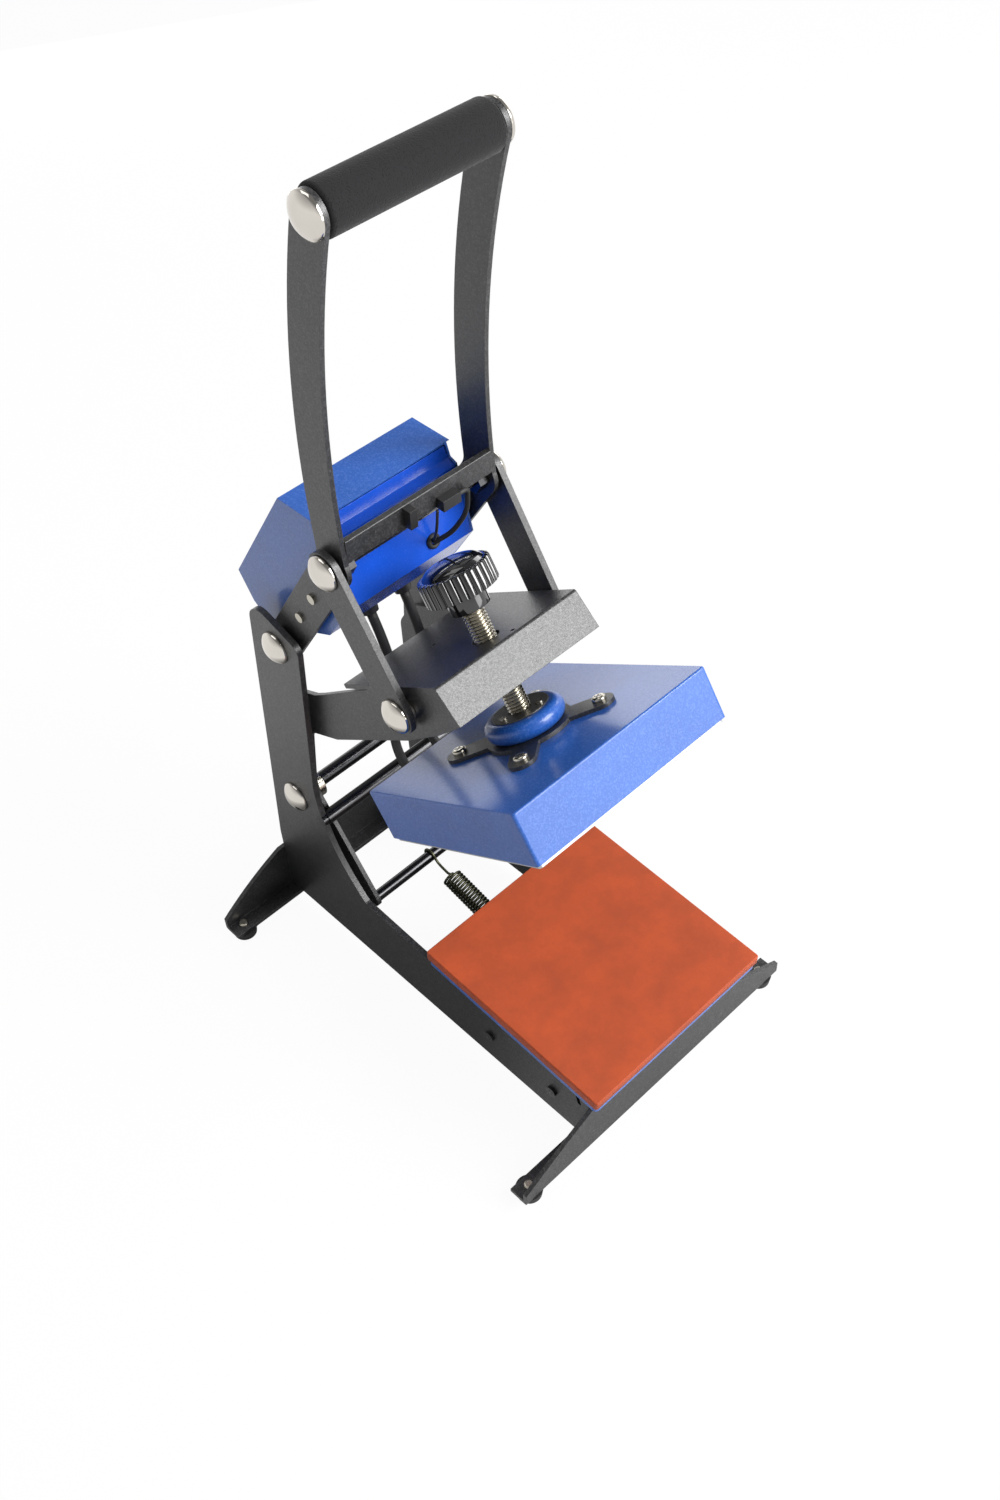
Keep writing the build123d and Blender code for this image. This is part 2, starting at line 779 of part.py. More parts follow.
def make_display():
    """Dark display window in its frame, snapped into the sloping back."""
    with BuildPart() as display:
        with BuildSketch(panel_plane):
            with Locations(DISPLAY_AT):
                RectangleRounded(DISPLAY_W + 5, DISPLAY_H + 5, 3)
        extrude(amount=1.4)
        with BuildSketch(panel_plane):
            with Locations(DISPLAY_AT):
                Rectangle(DISPLAY_W, DISPLAY_H)
        extrude(amount=-7)
        with BuildSketch(panel_plane.offset(1.4)):
            with Locations(DISPLAY_AT):
                Rectangle(DISPLAY_W - 6, DISPLAY_H - 6)
        extrude(amount=-0.6, mode=Mode.SUBTRACT)
    return display.part


def make_button(x):
    """Round push button with a collar behind the sheet."""
    with BuildPart() as button:
        with BuildSketch(panel_plane.offset(BUTTON_PROUD)):
            with Locations((x, BUTTON_ROW)):
                Circle(BUTTON_R)
        extrude(amount=-(BUTTON_PROUD + BOX_T + 3))
        with BuildSketch(panel_plane.offset(-BOX_T - GAP)):
            with Locations((x, BUTTON_ROW)):
                Circle(BUTTON_R + 1.5)
        extrude(amount=-1)
        crown = button.edges().filter_by(GeomType.CIRCLE).sort_by(
            lambda e: -panel_plane.to_local_coords(e.center()).Z
        )
        fillet(crown[0], 0.8)
    return button.part


def make_controller_board():
    """Circuit board on four posts behind the display, with its tact switches and relay."""
    with BuildPart() as board:
        with BuildSketch(panel_plane.offset(-BOARD_DEPTH)):
            Rectangle(84, 70)
        extrude(amount=-1.6)
        with BuildSketch(panel_plane.offset(-BOX_T)):
            with GridLocations(76, 62, 2, 2):
                Circle(2.5)
        extrude(amount=-(BOARD_DEPTH - BOX_T))
        with BuildSketch(panel_plane.offset(-BOARD_DEPTH)):
            with Locations(*[(x, BUTTON_ROW) for x in BUTTON_X]):
                Rectangle(6, 6)
        extrude(amount=BOARD_DEPTH - BOX_T - 3 - BUTTON_TRAVEL - GAP)
        with BuildSketch(panel_plane.offset(-BOARD_DEPTH - 1.6)):
            with Locations((-24, -8)):
                Rectangle(19, 16)
        extrude(amount=-15)
    return board.part


def make_power_inlet():
    """Mains inlet in the right cheek: flange, body and socket well with three pins."""
    with BuildPart() as inlet:
        with BuildSketch(cheek_plane):
            with Locations(INLET_AT):
                RectangleRounded(INLET_W + 4, INLET_H + 4, 2.5)
        extrude(amount=1.6)
        with BuildSketch(cheek_plane):
            with Locations(INLET_AT):
                RectangleRounded(INLET_W, INLET_H, 2)
        extrude(amount=-20)
        with BuildSketch(cheek_plane.offset(1.6)):
            with Locations(INLET_AT):
                RectangleRounded(INLET_W - 3, INLET_H - 3, 2)
        extrude(amount=-18, mode=Mode.SUBTRACT)
        with BuildSketch(cheek_plane.offset(-16.4)):
            with Locations(*[(INLET_AT[0] + dx, INLET_AT[1] + dy) for dx, dy in ((-7, -2), (0, 2), (7, -2))]):
                Rectangle(2, 4)
        extrude(amount=13)
    return inlet.part


def make_switch_frame():
    """Frame of the mains rocker switch."""
    with BuildPart() as frame:
        with BuildSketch(cheek_plane):
            with Locations(ROCKER_AT):
                RectangleRounded(ROCKER_L + 6, ROCKER_W + 6, 1.5)
        extrude(amount=1.6)
        with BuildSketch(cheek_plane):
            with Locations(ROCKER_AT):
                Rectangle(ROCKER_L + 3, ROCKER_W + 3)
        extrude(amount=-16)
        with BuildSketch(cheek_plane.offset(1.6)):
            with Locations(ROCKER_AT):
                Rectangle(ROCKER_L + 2 * GAP, ROCKER_W + 2 * GAP)
        extrude(amount=-12, mode=Mode.SUBTRACT)
        with BuildSketch(rocker_axis):
            Circle(ROCKER_PIN_R + FIT)
        extrude(amount=ROCKER_W / 2 + 1.2, both=True, mode=Mode.SUBTRACT)
    return frame.part


def make_rocker():
    """See-saw rocker of the mains switch, dished on top, with its two pivot pins."""
    reach = ROCKER_L / 2 - 0.4
    face = Plane(
        origin=cheek_plane.from_local_coords((ROCKER_AT[0], ROCKER_AT[1] - ROCKER_W / 2, ROCKER_DEPTH)),
        x_dir=cheek_plane.x_dir,
        z_dir=-cheek_plane.y_dir,
    )
    with BuildPart() as rocker:
        with BuildSketch(face):
            with BuildLine():
                ThreePointArc((-reach, -ROCKER_DEPTH + 2.6), (0, -ROCKER_DEPTH + 1.4), (reach, -ROCKER_DEPTH + 4.0))
                Line((reach, -ROCKER_DEPTH + 4.0), (reach - 0.6, -ROCKER_DEPTH - 1))
                Line((reach - 0.6, -ROCKER_DEPTH - 1), (0, -ROCKER_DEPTH - 6))
                Line((0, -ROCKER_DEPTH - 6), (-reach + 0.6, -ROCKER_DEPTH - 1))
                Line((-reach + 0.6, -ROCKER_DEPTH - 1), (-reach, -ROCKER_DEPTH + 2.6))
            make_face()
        extrude(amount=-ROCKER_W)
        with BuildSketch(rocker_axis):
            Circle(ROCKER_PIN_R)
        extrude(amount=ROCKER_W / 2 + 1.0, both=True)
    return rocker.part


def make_box_mount_screws():
    """Small chrome shoulder screws between the short arms and the box."""
    with BuildPart() as screws:
        for side in (-1, 1):
            with BuildSketch(side_plane(BAR_HALF, side)):
                with Locations(*box_screw_places()):
                    Circle(BOX_SCREW_R)
            extrude(amount=1.6 * side)
            with BuildSketch(side_plane(BOX_HALF, side)):
                with Locations(*box_screw_places()):
                    Circle(1.6)
            extrude(amount=(BAR_HALF - BOX_HALF) * side)
            with BuildSketch(side_plane(BOX_HALF, side)):
                with Locations(*box_screw_places()):
                    Circle(4.0)
            extrude(amount=(bar_inner - BOX_HALF) * side)
    return screws.part


# Lift arm
def make_arm_beam():
    """Bent sheet arm: web, front lip and two side flanges that reach down past the pivot."""
    lip_top = (WEB_FRONT, WEB_TOP)
    lip_foot = (WEB_FRONT - LIP_REACH, WEB_TOP - LIP_DROP)
    knee = (182.0, 242.0)
    lever_run = Vector(0, *LEVER_EDGE)
    rest = Vector(0, *STOP_ROD) + Vector(0, LEVER_EDGE[1], -LEVER_EDGE[0]) * (STOP_ROD_R + GAP)
    lever_neck = ((rest + lever_run * 20).Y, (rest + lever_run * 20).Z)
    lever_toe = ((rest - lever_run * 80).Y, (rest - lever_run * 80).Z)
    heel = (226.0, 205.0)
    outline = [
        arm_side(*lip_top),
        arm_side(20, WEB_TOP),
        (174.5, 247.5),
        knee,
        (212.0, 228.0),
        heel,
        (ARM_PIVOT[0] + 14, ARM_PIVOT[1]),
        (SPRING_EYE[0] + 9, SPRING_EYE[1] - 7),
        lever_toe,
        lever_neck,
        (195.0, 200.0),
        (166.0, 214.0),
        arm_side(36, 25),
        arm_side(0, 30.5),
        arm_side(*lip_foot),
    ]
    with BuildPart() as beam:
        for side in (-1, 1):
            with BuildSketch(side_plane(arm_inner, side)) as cheek:
                with BuildLine():
                    Polyline(*outline, close=True)
                make_face()
                fillet(near(cheek.vertices(), 212.0, 228.0), 14)
                fillet(near(cheek.vertices(), *heel), 14)
                fillet(near(cheek.vertices(), ARM_PIVOT[0] + 14, ARM_PIVOT[1]), 14)
                fillet(near(cheek.vertices(), SPRING_EYE[0] + 9, SPRING_EYE[1] - 7), 7)
                fillet(near(cheek.vertices(), *lever_toe), 6)
                fillet(near(cheek.vertices(), *lever_neck), 24)
                fillet(near(cheek.vertices(), 195.0, 200.0), 14)
                with Locations(ARM_PIVOT):
                    Circle(AXLE_R + 2 + FIT, mode=Mode.SUBTRACT)
                with Locations(SPRING_EYE):
                    Circle(SPRING_ROD_R + FIT, mode=Mode.SUBTRACT)
                with Locations(LINK_FOOT):
                    Circle(PIN_R + FIT, mode=Mode.SUBTRACT)
            extrude(amount=ARM_T * side)
        with BuildSketch(arm_plane.offset(WEB_TOP)):
            with Locations((0, (WEB_FRONT + WEB_REAR) / 2)):
                Rectangle(2 * ARM_HALF, WEB_REAR - WEB_FRONT)
            Circle(SPINDLE_R + 1.6, mode=Mode.SUBTRACT)
            with Locations((8.3, -16), (8.3, 16), (-8.3, 44)):
                Circle(1.5, mode=Mode.SUBTRACT)
        extrude(amount=-ARM_T)
        with BuildSketch(Plane.YZ.offset(-ARM_HALF)):
            with BuildLine():
                Polyline(
                    arm_side(*lip_top),
                    arm_side(*lip_foot),
                    arm_side(lip_foot[0] + ARM_T, lip_foot[1]),
                    arm_side(lip_top[0] + ARM_T, lip_top[1] - 1),
                    close=True,
                )
            make_face()
        extrude(amount=2 * ARM_HALF)
        front_fold = beam.edges().filter_by(Axis.X).sort_by_distance(in_arm(0, *lip_top))[0]
        fillet(front_fold, 2.0)
    return beam.part


def make_spindle_nut():
    """Round threaded bush welded under the web."""
    with BuildPart() as nut:
        with BuildSketch(arm_plane.offset(WEB_TOP - ARM_T)):
            Circle(14)
            Circle(SPINDLE_R + FIT, mode=Mode.SUBTRACT)
        extrude(amount=-14)
    return nut.part


def make_pivot_bushes():
    """Flanged bushes in the arm on its pivot axle."""
    with BuildPart() as bushes:
        for side in (-1, 1):
            with BuildSketch(side_plane(arm_inner - 6, side)):
                with Locations(ARM_PIVOT):
                    Circle(AXLE_R + 2)
                    Circle(AXLE_R + FIT, mode=Mode.SUBTRACT)
            extrude(amount=(ARM_T + 6) * side)
            with BuildSketch(side_plane(arm_inner - 6, side)):
                with Locations(ARM_PIVOT):
                    Circle(AXLE_R + 5)
                    Circle(AXLE_R + FIT, mode=Mode.SUBTRACT)
            extrude(amount=6 * side)
    return bushes.part


def make_link_nuts():
    """Nuts inside the arm behind the lower link pins."""
    with BuildPart() as nuts:
        for side in (-1, 1):
            with BuildSketch(side_plane(arm_inner - 6, side)):
                with Locations(LINK_FOOT):
                    RegularPolygon(7.5, 6, major_radius=False)
            extrude(amount=6 * side)
            with BuildSketch(side_plane(arm_inner, side)):
                with Locations(LINK_FOOT):
                    Circle(4.0)
            extrude(amount=ARM_T * side)
    return nuts.part


# Links
def make_link(side):
    """Flat link between the handle and the arm."""
    with BuildPart() as link:
        with BuildSketch(side_plane(link_inner, side)):
            straight_slot(LINK_TOP, LINK_FOOT, LINK_W)
            with Locations(LINK_TOP):
                Circle(4.0 + FIT, mode=Mode.SUBTRACT)
            with Locations(LINK_FOOT):
                Circle(4.0 + FIT, mode=Mode.SUBTRACT)
        extrude(amount=LINK_T * side)
    return link.part


def make_link_pins():
    """Dome headed pins of the lower link pivot, each with its spacing sleeve."""
    pins = make_caps((LINK_FOOT,), LINK_HALF, CAP_R, CAP_HEIGHT, LINK_T)
    with BuildPart() as shouldered:
        add(pins)
        for side in (-1, 1):
            with BuildSketch(side_plane(ARM_HALF + GAP, side)):
                with Locations(LINK_FOOT):
                    Circle(8.0)
            extrude(amount=(link_inner - ARM_HALF - GAP) * side)
    return shouldered.part


# Heat platen
def make_platen_cover():
    """Blue sheet cover of the heat platen, open below."""
    with BuildPart() as cover:
        with BuildSketch(arm_plane):
            RectangleRounded(2 * PLATEN_HALF_X, 2 * PLATEN_HALF_Y, PLATEN_CORNER_R)
        extrude(amount=-PLATEN_COVER_H)
        top = cover.faces().filter_by(lambda f: abs(f.normal_at().dot(arm_plane.z_dir) - 1) < 1e-4)[0]
        fillet(top.edges(), 1.2)
        with BuildSketch(arm_plane.offset(-2)):
            RectangleRounded(2 * PLATEN_HALF_X - 3, 2 * PLATEN_HALF_Y - 3, PLATEN_CORNER_R)
        extrude(amount=-PLATEN_COVER_H, mode=Mode.SUBTRACT)
        with BuildSketch(arm_plane.offset(1)):
            with PolarLocations(SPIDER_REACH * math.sqrt(2), 4, start_angle=45):
                Circle(2.0 + FIT)
        extrude(amount=-4, mode=Mode.SUBTRACT)
        rear = Plane(
            origin=in_arm(0, PLATEN_HALF_Y + 1, lead_entry_z),
            x_dir=(1, 0, 0),
            z_dir=-arm_plane.y_dir,
        )
        with BuildSketch(rear):
            with Locations(*[(x, 0) for x in lead_entries]):
                Circle(LEAD_R + 1)
        extrude(amount=4, mode=Mode.SUBTRACT)
    return cover.part


lead_entries = (-14.0, 14.0)
lead_entry_z = -14.0


def make_block(side_x, side_y, top, thickness, radius, holes=0.0):
    """Flat layer inside the heat platen."""
    with BuildPart() as layer:
        with BuildSketch(arm_plane.offset(top)):
            RectangleRounded(side_x, side_y, radius)
            if holes:
                with PolarLocations(SPIDER_REACH * math.sqrt(2), 4, start_angle=45):
                    Circle(holes, mode=Mode.SUBTRACT)
        extrude(amount=-thickness)
    return layer.part


def make_heating_element():
    """Flat heating tube, bent in a square loop, on the aluminium plate."""
    level = -PLATEN_COVER_H - HEAT_PLATE_PROUD + HEAT_PLATE_T
    with BuildPart() as element:
        with BuildSketch(arm_plane.offset(level)):
            with BuildLine() as run:
                FilletPolyline(
                    (-12, 58),
                    (-58, 58),
                    (-58, -58),
                    (58, -58),
                    (58, 58),
                    (12, 58),
                    radius=12,
                )
            trace(run.line, 7)
        extrude(amount=5)
    return element.part


def make_spider_bracket():
    """Black four-eared bracket between the bearing ring and the platen."""
    with BuildPart() as spider:
        with BuildSketch(arm_plane):
            Circle(RING_R + 2)
            for angle in (45, 135):
                SlotCenterToCenter(2 * SPIDER_REACH * math.sqrt(2), 2 * SPIDER_EAR_R, rotation=angle)
            with PolarLocations(SPIDER_REACH * math.sqrt(2), 4, start_angle=45):
                Circle(2.0 + FIT, mode=Mode.SUBTRACT)
        extrude(amount=SPIDER_T)
    return spider.part


def make_spider_screws():
    """Chrome pan head screws at the bracket's ears."""
    places = [
        (SPIDER_REACH * sx, SPIDER_REACH * sy)
        for sx in (-1, 1)
        for sy in (-1, 1)
    ]
    with BuildPart() as screws:
        with BuildSketch(arm_plane.offset(SPIDER_T)):
            with Locations(*places):
                Circle(4.4)
        extrude(amount=3.0)
        rims = screws.edges().filter_by(GeomType.CIRCLE).sort_by(lambda e: -arm_height(e.center()))
        fillet(rims[:4], 1.6)
        with BuildSketch(arm_plane.offset(SPIDER_T)):
            with Locations(*places):
                Circle(2.0)
        extrude(amount=-(SPIDER_T + 20))
    return screws.part


def make_bearing_ring():
    """Blue turned ring with a round rim, around the thrust seat."""
    with BuildPart() as ring:
        with BuildSketch(arm_plane.offset(SPIDER_T)):
            Circle(RING_R)
            Circle(SPINDLE_R + 3, mode=Mode.SUBTRACT)
        extrude(amount=RING_H)
        rims = ring.edges().filter_by(GeomType.CIRCLE).sort_by(lambda e: -e.radius)[:2]
        fillet(rims, RING_TUBE_R)
        with BuildSketch(arm_plane.offset(SPIDER_T + RING_H - 1.5)):
            Circle(DISC_R - 2 + SEAT)
        extrude(amount=3, mode=Mode.SUBTRACT)
    return ring.part


def make_bearing_disc():
    """Black keeper disc sunk in the ring's top."""
    with BuildPart() as disc:
        with BuildSketch(arm_plane.offset(SPIDER_T + RING_H - 1.5)):
            Circle(DISC_R - 2)
            Circle(SPINDLE_R + 0.4, mode=Mode.SUBTRACT)
            with PolarLocations(13, 3, start_angle=60):
                Circle(1.5, mode=Mode.SUBTRACT)
        extrude(amount=2.2)
    return disc.part


def make_disc_screws():
    """Three small screws of the keeper disc."""
    with BuildPart() as screws:
        with BuildSketch(arm_plane.offset(SPIDER_T + RING_H + 0.7)):
            with PolarLocations(13, 3, start_angle=60):
                Circle(2.4)
        extrude(amount=1.3)
        with BuildSketch(arm_plane.offset(SPIDER_T + RING_H - 1.5)):
            with PolarLocations(13, 3, start_angle=60):
                Circle(1.45)
        extrude(amount=2.2)
    return screws.part


# Spindle and knob
def make_spindle():
    """Threaded pressure spindle with a thrust collar inside the ring."""
    with BuildPart() as spindle:
        with BuildSketch(arm_plane.offset(SPIDER_T + 4)):
            Circle(SPINDLE_R)
        extrude(amount=SPINDLE_TOP - SPIDER_T - 4)
        with BuildSketch(arm_plane.offset(SPIDER_T + 4)):
            Circle(SPINDLE_R + 2.6)
        extrude(amount=3.0)
    return spindle.part


def make_knob():
    """Lobed plastic knob with a stepped hub and a domed top."""
    with BuildPart() as knob:
        with BuildSketch(arm_plane.offset(KNOB_FOOT)):
            Circle(KNOB_HUB_R)
        extrude(amount=KNOB_HUB_H)
        with BuildSketch(arm_plane.offset(KNOB_FOOT + KNOB_HUB_H)):
            Circle(KNOB_R - 1.2)
            with PolarLocations(KNOB_R - KNOB_LOBE_R, KNOB_LOBES):
                Circle(KNOB_LOBE_R)
        extrude(amount=KNOB_HEAD_H)
        with BuildSketch(arm_plane.offset(KNOB_FOOT + KNOB_HUB_H + KNOB_HEAD_H)):
            Circle(KNOB_R - 1.2)
        with BuildSketch(arm_plane.offset(KNOB_FOOT + KNOB_HUB_H + KNOB_HEAD_H + KNOB_DOME)):
            Circle(KNOB_R - 12)
        loft()
        with BuildSketch(arm_plane.offset(KNOB_FOOT)):
            Circle(SPINDLE_R + FIT)
        extrude(amount=SPINDLE_TOP - KNOB_FOOT, mode=Mode.SUBTRACT)
    return knob.part


# Limit switch and leads
def make_limit_switch():
    """Small limit switch on the cross bar's face, with its strike block beside it."""
    face = CROSS_BAR_FRONT_Y
    with BuildPart() as switch:
        with BuildSketch(Plane.XZ.offset(-face)):
            with Locations((SWITCH_X, CROSS_BAR_TOP_Z - CROSS_BAR_FACE + 3.5)):
                Rectangle(13, 7)
            with Locations((BLOCK_X, CROSS_BAR_TOP_Z - 7)):
                Rectangle(5, 12)
        extrude(amount=6)
    return switch.part


def make_tube(points, share, radius, name):
    """Round lead along straight runs joined by tangent arcs; prints its arc radii."""
    radii = []
    for before, here, after in zip(points, points[1:], points[2:]):
        ahead = Vector(*after) - Vector(*here)
        behind = Vector(*here) - Vector(*before)
        half_turn = math.radians(behind.get_angle(ahead)) / 2
        radii.append(share * min(ahead.length, behind.length) / math.tan(half_turn))
    with BuildPart() as tube:
        with BuildLine() as path:
            FilletPolyline(*points, radius=radii)
        with BuildSketch(Plane(origin=path.line @ 0, z_dir=path.line % 0)):
            Circle(radius)
        sweep(path=path.line)
    length = sum(edge.length for edge in path.edges())
    share_of_section = tube.part.volume / (math.pi * radius**2 * length)
    print(name, "radii", [round(r) for r in radii], f"length {length:.0f} volume share {share_of_section:.3f}")
    return tube.part


def lead_route(x, share, entry_x):
    """Slack loop from a gland down behind the arm and up to the platen's rear."""
    start = Vector(x, *belly_point(share)) + Vector(*belly_normal) * GLAND_LENGTH
    second = start + Vector(*belly_normal) * 26
    entry = in_arm(entry_x, PLATEN_HALF_Y + GAP, lead_entry_z)
    before = in_arm(entry_x, PLATEN_HALF_Y + 14, lead_entry_z)
    middle = [(x + (entry_x - x) * along, y, z) for along, y, z in LEAD_LOOP]
    return [tuple(start), tuple(second), *middle, tuple(before), tuple(entry)]


def make_sensor_lead():
    """Thin lead from the limit switch down to the box's front."""
    low = CROSS_BAR_TOP_Z - CROSS_BAR_FACE + 3.5
    out = CROSS_BAR_FRONT_Y - 3.0
    points = [
        (SWITCH_X + 6.5, out, low),
        (SWITCH_X + 14.0, out, low),
        (SWITCH_X + 14.5, out + 2, low - 18),
        (SWITCH_X + 9.0, out + 10, low - 34),
        (SWITCH_X + 3.0, BOX_CHIN[0] + 0.5, BOX_CHIN[1] + 9),
    ]
    return make_tube(points, 0.45, SENSOR_LEAD_R, "sensor lead")


# Spring and its plugs
spring_dir = Vector(0, SPRING_ANCHOR[0] - SPRING_EYE[0], SPRING_ANCHOR[1] - SPRING_EYE[1]).normalized()
spring_len = math.hypot(SPRING_ANCHOR[0] - SPRING_EYE[0], SPRING_ANCHOR[1] - SPRING_EYE[1])
COIL_START = 21.0
coil_origin = Vector(0, *SPRING_EYE) + spring_dir * COIL_START
spring_plane = Plane(origin=coil_origin, x_dir=(1, 0, 0), z_dir=spring_dir)


def coil_point(turn):
    """Point and direction of the coil's centre line."""
    radius = (COIL_OD - WIRE) / 2
    angle = 2 * math.pi * turn
    slope = COIL_PITCH / (2 * math.pi)
    point = spring_plane.from_local_coords(
        (radius * math.cos(angle), radius * math.sin(angle), COIL_PITCH * turn)
    )
    ahead = spring_plane.from_local_coords(
        (-radius * math.sin(angle), radius * math.cos(angle), slope)
    )
    return point, (ahead - spring_plane.origin).normalized()


def biarc(start, start_dir, end, end_dir):
    """Two arcs that leave one point and reach the next in given directions."""
    span = end - start
    both = start_dir + end_dir
    a = 2 * (1 - start_dir.dot(end_dir))
    b = span.dot(both)
    reach = (-b + math.sqrt(b * b + a * span.dot(span))) / a
    middle = (start + end + (start_dir - end_dir) * reach) * 0.5
    chord = middle - start
    middle_dir = chord * (2 * chord.dot(start_dir) / chord.dot(chord)) - start_dir
    TangentArc(start, middle, tangent=start_dir)
    TangentArc(middle, end, tangent=middle_dir)


def make_spring():
    """Close-wound tension spring: one unbroken wire with short straight ends."""
    halves = 2 * COIL_TURNS
    first, first_dir = coil_point(0)
    last, last_dir = coil_point(COIL_TURNS)
    with BuildPart() as spring:
        with BuildLine() as path:
            Line(first - first_dir * WIRE, first)
            for half in range(halves):
                start, start_dir = coil_point(half / 2)
                end, end_dir = coil_point((half + 1) / 2)
                biarc(start, start_dir, end, end_dir)
            Line(last, last + last_dir * WIRE)
        with BuildSketch(Plane(origin=path.line @ 0, z_dir=path.line % 0)):
            RegularPolygon(WIRE / 2, 6)
        sweep(path=path.line)
    return spring.part


def coil_gap():
    """Least gap between the coil's turns, measured on points of its centre line."""
    steps = 48
    points = [coil_point(i / steps)[0] for i in range(4 * steps)]
    least = min(
        (points[i] - points[j]).length
        for i in range(steps)
        for j in range(i + steps // 2, min(i + 2 * steps, len(points)))
    )
    return least - WIRE


def make_spring_plugs():
    """Plugs in the coil's ends with shanks to the rod and to the anchor pin."""
    coil_len = COIL_TURNS * COIL_PITCH
    bore = (COIL_OD - 2 * WIRE) / 2 - FIT
    with BuildPart() as plugs:
        with BuildSketch(spring_plane.offset(-1.5)):
            Circle(bore)
        extrude(amount=9)
        with BuildSketch(spring_plane.offset(-COIL_START)):
            Circle(PLUG_SHANK_R)
        extrude(amount=COIL_START)
        with BuildSketch(Plane.YZ.offset(-3.5)):
            with Locations(SPRING_EYE):
                Circle(SPRING_ROD_R + 2.6)
        extrude(amount=7)
        with BuildSketch(Plane.YZ.offset(-3.5)):
            with Locations(SPRING_EYE):
                Circle(SPRING_ROD_R + FIT)
        extrude(amount=7, mode=Mode.SUBTRACT)
    with BuildPart() as anchor:
        with BuildSketch(spring_plane.offset(coil_len - 7.5)):
            Circle(bore)
        extrude(amount=9)
        with BuildSketch(spring_plane.offset(coil_len)):
            Circle(PLUG_SHANK_R)
        extrude(amount=spring_len - COIL_START - coil_len)
        with BuildSketch(Plane.YZ.offset(-3.5)):
            with Locations(SPRING_ANCHOR):
                Circle(5.6)
        extrude(amount=7)
        with BuildSketch(Plane.YZ.offset(-3.5)):
            with Locations(SPRING_ANCHOR):
                Circle(3.0 + FIT)
        extrude(amount=7, mode=Mode.SUBTRACT)
    return plugs.part, anchor.part


pair(make_frame_plate, "frame_plate")
save(make_leg_bar(FRONT_WALL_Y, 1, FRONT_LEG_SHOULDER, 1.0), "front_leg_bar")
save(make_leg_bar(REAR_WALL_Y, -1, REAR_LEG_SHOULDER, 2.5), "rear_leg_bar")
save(make_rubber_feet(), "rubber_feet")
save(make_foot_screws(), "foot_screws")
save(make_lower_platen(), "lower_platen")
save(make_silicone_pad(), "silicone_pad")
save(make_platen_bracket(), "platen_bracket")
save(make_bracket_screws(), "bracket_screws")
save(make_rod(HANDLE_PIVOT, AXLE_R, FRAME_HALF), "handle_axle")
save(make_rod(ARM_PIVOT, AXLE_R, FRAME_HALF), "arm_axle")
save(make_rod(STOP_ROD, STOP_ROD_R, frame_inner, STOP_ROD_R - 1, FRAME_HALF), "stop_rod")
save(make_caps((HANDLE_PIVOT, ARM_PIVOT), FRAME_HALF, CAP_R, CAP_HEIGHT), "axle_caps")
save(
    join(
        make_washers((HANDLE_PIVOT,), BAR_HALF + GAP, frame_inner, AXLE_R + FIT, 8.5),
        make_washers((ARM_PIVOT,), ARM_HALF + GAP, frame_inner, AXLE_R + FIT, 9.0),
    ),
    "axle_spacers",
)

pair(make_handle_bar, "handle_bar")
save(make_grip_tube(), "grip_tube")
save(make_foam_grip(), "foam_grip")
save(make_caps((GRIP_AXIS,), BAR_HALF, GRIP_CAP_R, GRIP_CAP_HEIGHT, BAR_T + 12), "grip_bolts")
save(make_cross_bar(), "cross_bar")
save(make_rod(LINK_TOP, 4.0, LINK_HALF), "link_rod")
save(make_caps((LINK_TOP,), LINK_HALF + GAP, CAP_R, CAP_HEIGHT), "link_caps")
save(
    join(
        make_rod_nuts(LINK_TOP, bar_inner, 15, 7),
        make_washers((LINK_TOP,), BAR_HALF, link_inner - GAP, PIN_R + FIT, 7.5),
    ),
    "link_rod_nuts",
)
save(make_box_cover(), "control_box_cover")
save(make_box_panel(), "control_box_panel")
save(make_cable_glands(), "cable_glands")
save(make_box_mount_screws(), "box_mount_screws")
save(make_display(), "display_window")
save(make_controller_board(), "controller_board")
save(make_power_inlet(), "power_inlet")
save(make_switch_frame(), "power_switch_frame")
save(make_rocker(), "power_switch")
for button_x, button_name in zip(BUTTON_X, ("set", "down", "up")):
    save(make_button(button_x), f"{button_name}_button")
save(make_limit_switch(), "limit_switch")
save(make_sensor_lead(), "sensor_lead")

pair(make_link, "link")
save(make_link_pins(), "link_pins")

save(make_arm_beam(), "arm_beam")
save(make_spindle_nut(), "spindle_nut")
save(make_pivot_bushes(), "arm_bushes")
save(make_link_nuts(), "link_nuts")
save(make_rod(SPRING_EYE, SPRING_ROD_R, ARM_HALF), "spring_rod")

save(make_platen_cover(), "platen_cover")
heat_top = -PLATEN_COVER_H - HEAT_PLATE_PROUD + HEAT_PLATE_T
inner_x = 2 * PLATEN_HALF_X - 3 - 2 * GAP
inner_y = 2 * PLATEN_HALF_Y - 3 - 2 * GAP
save(make_block(inner_x, inner_y, heat_top, HEAT_PLATE_T, PLATEN_CORNER_R), "heat_plate")
save(make_heating_element(), "heating_element")
save(make_block(inner_x - 2, inner_y - 2, heat_top + 5 + 8, 8, PLATEN_CORNER_R, 2.0 + FIT), "insulation_pad")
save(make_spider_bracket(), "spider_bracket")
save(join(make_spider_screws(), make_disc_screws()), "platen_screws")
save(make_bearing_ring(), "bearing_ring")
save(make_bearing_disc(), "bearing_disc")

save(make_spindle(), "pressure_spindle")
save(make_knob(), "pressure_knob")

leads = [
    make_tube(lead_route(x, share, entry), 0.45, LEAD_R, "platen lead")
    for (x, share), entry in zip(gland_places, lead_entries)
]
save(join(*leads), "platen_leads")

save(make_spring(), "return_spring")
plug, anchor = make_spring_plugs()
save(plug, "spring_hook_plug")
save(join(anchor, make_rod(SPRING_ANCHOR, 3.0, frame_inner - SEAT)), "spring_anchor")
print(f"least gap between the spring's turns {coil_gap():.2f} mm")
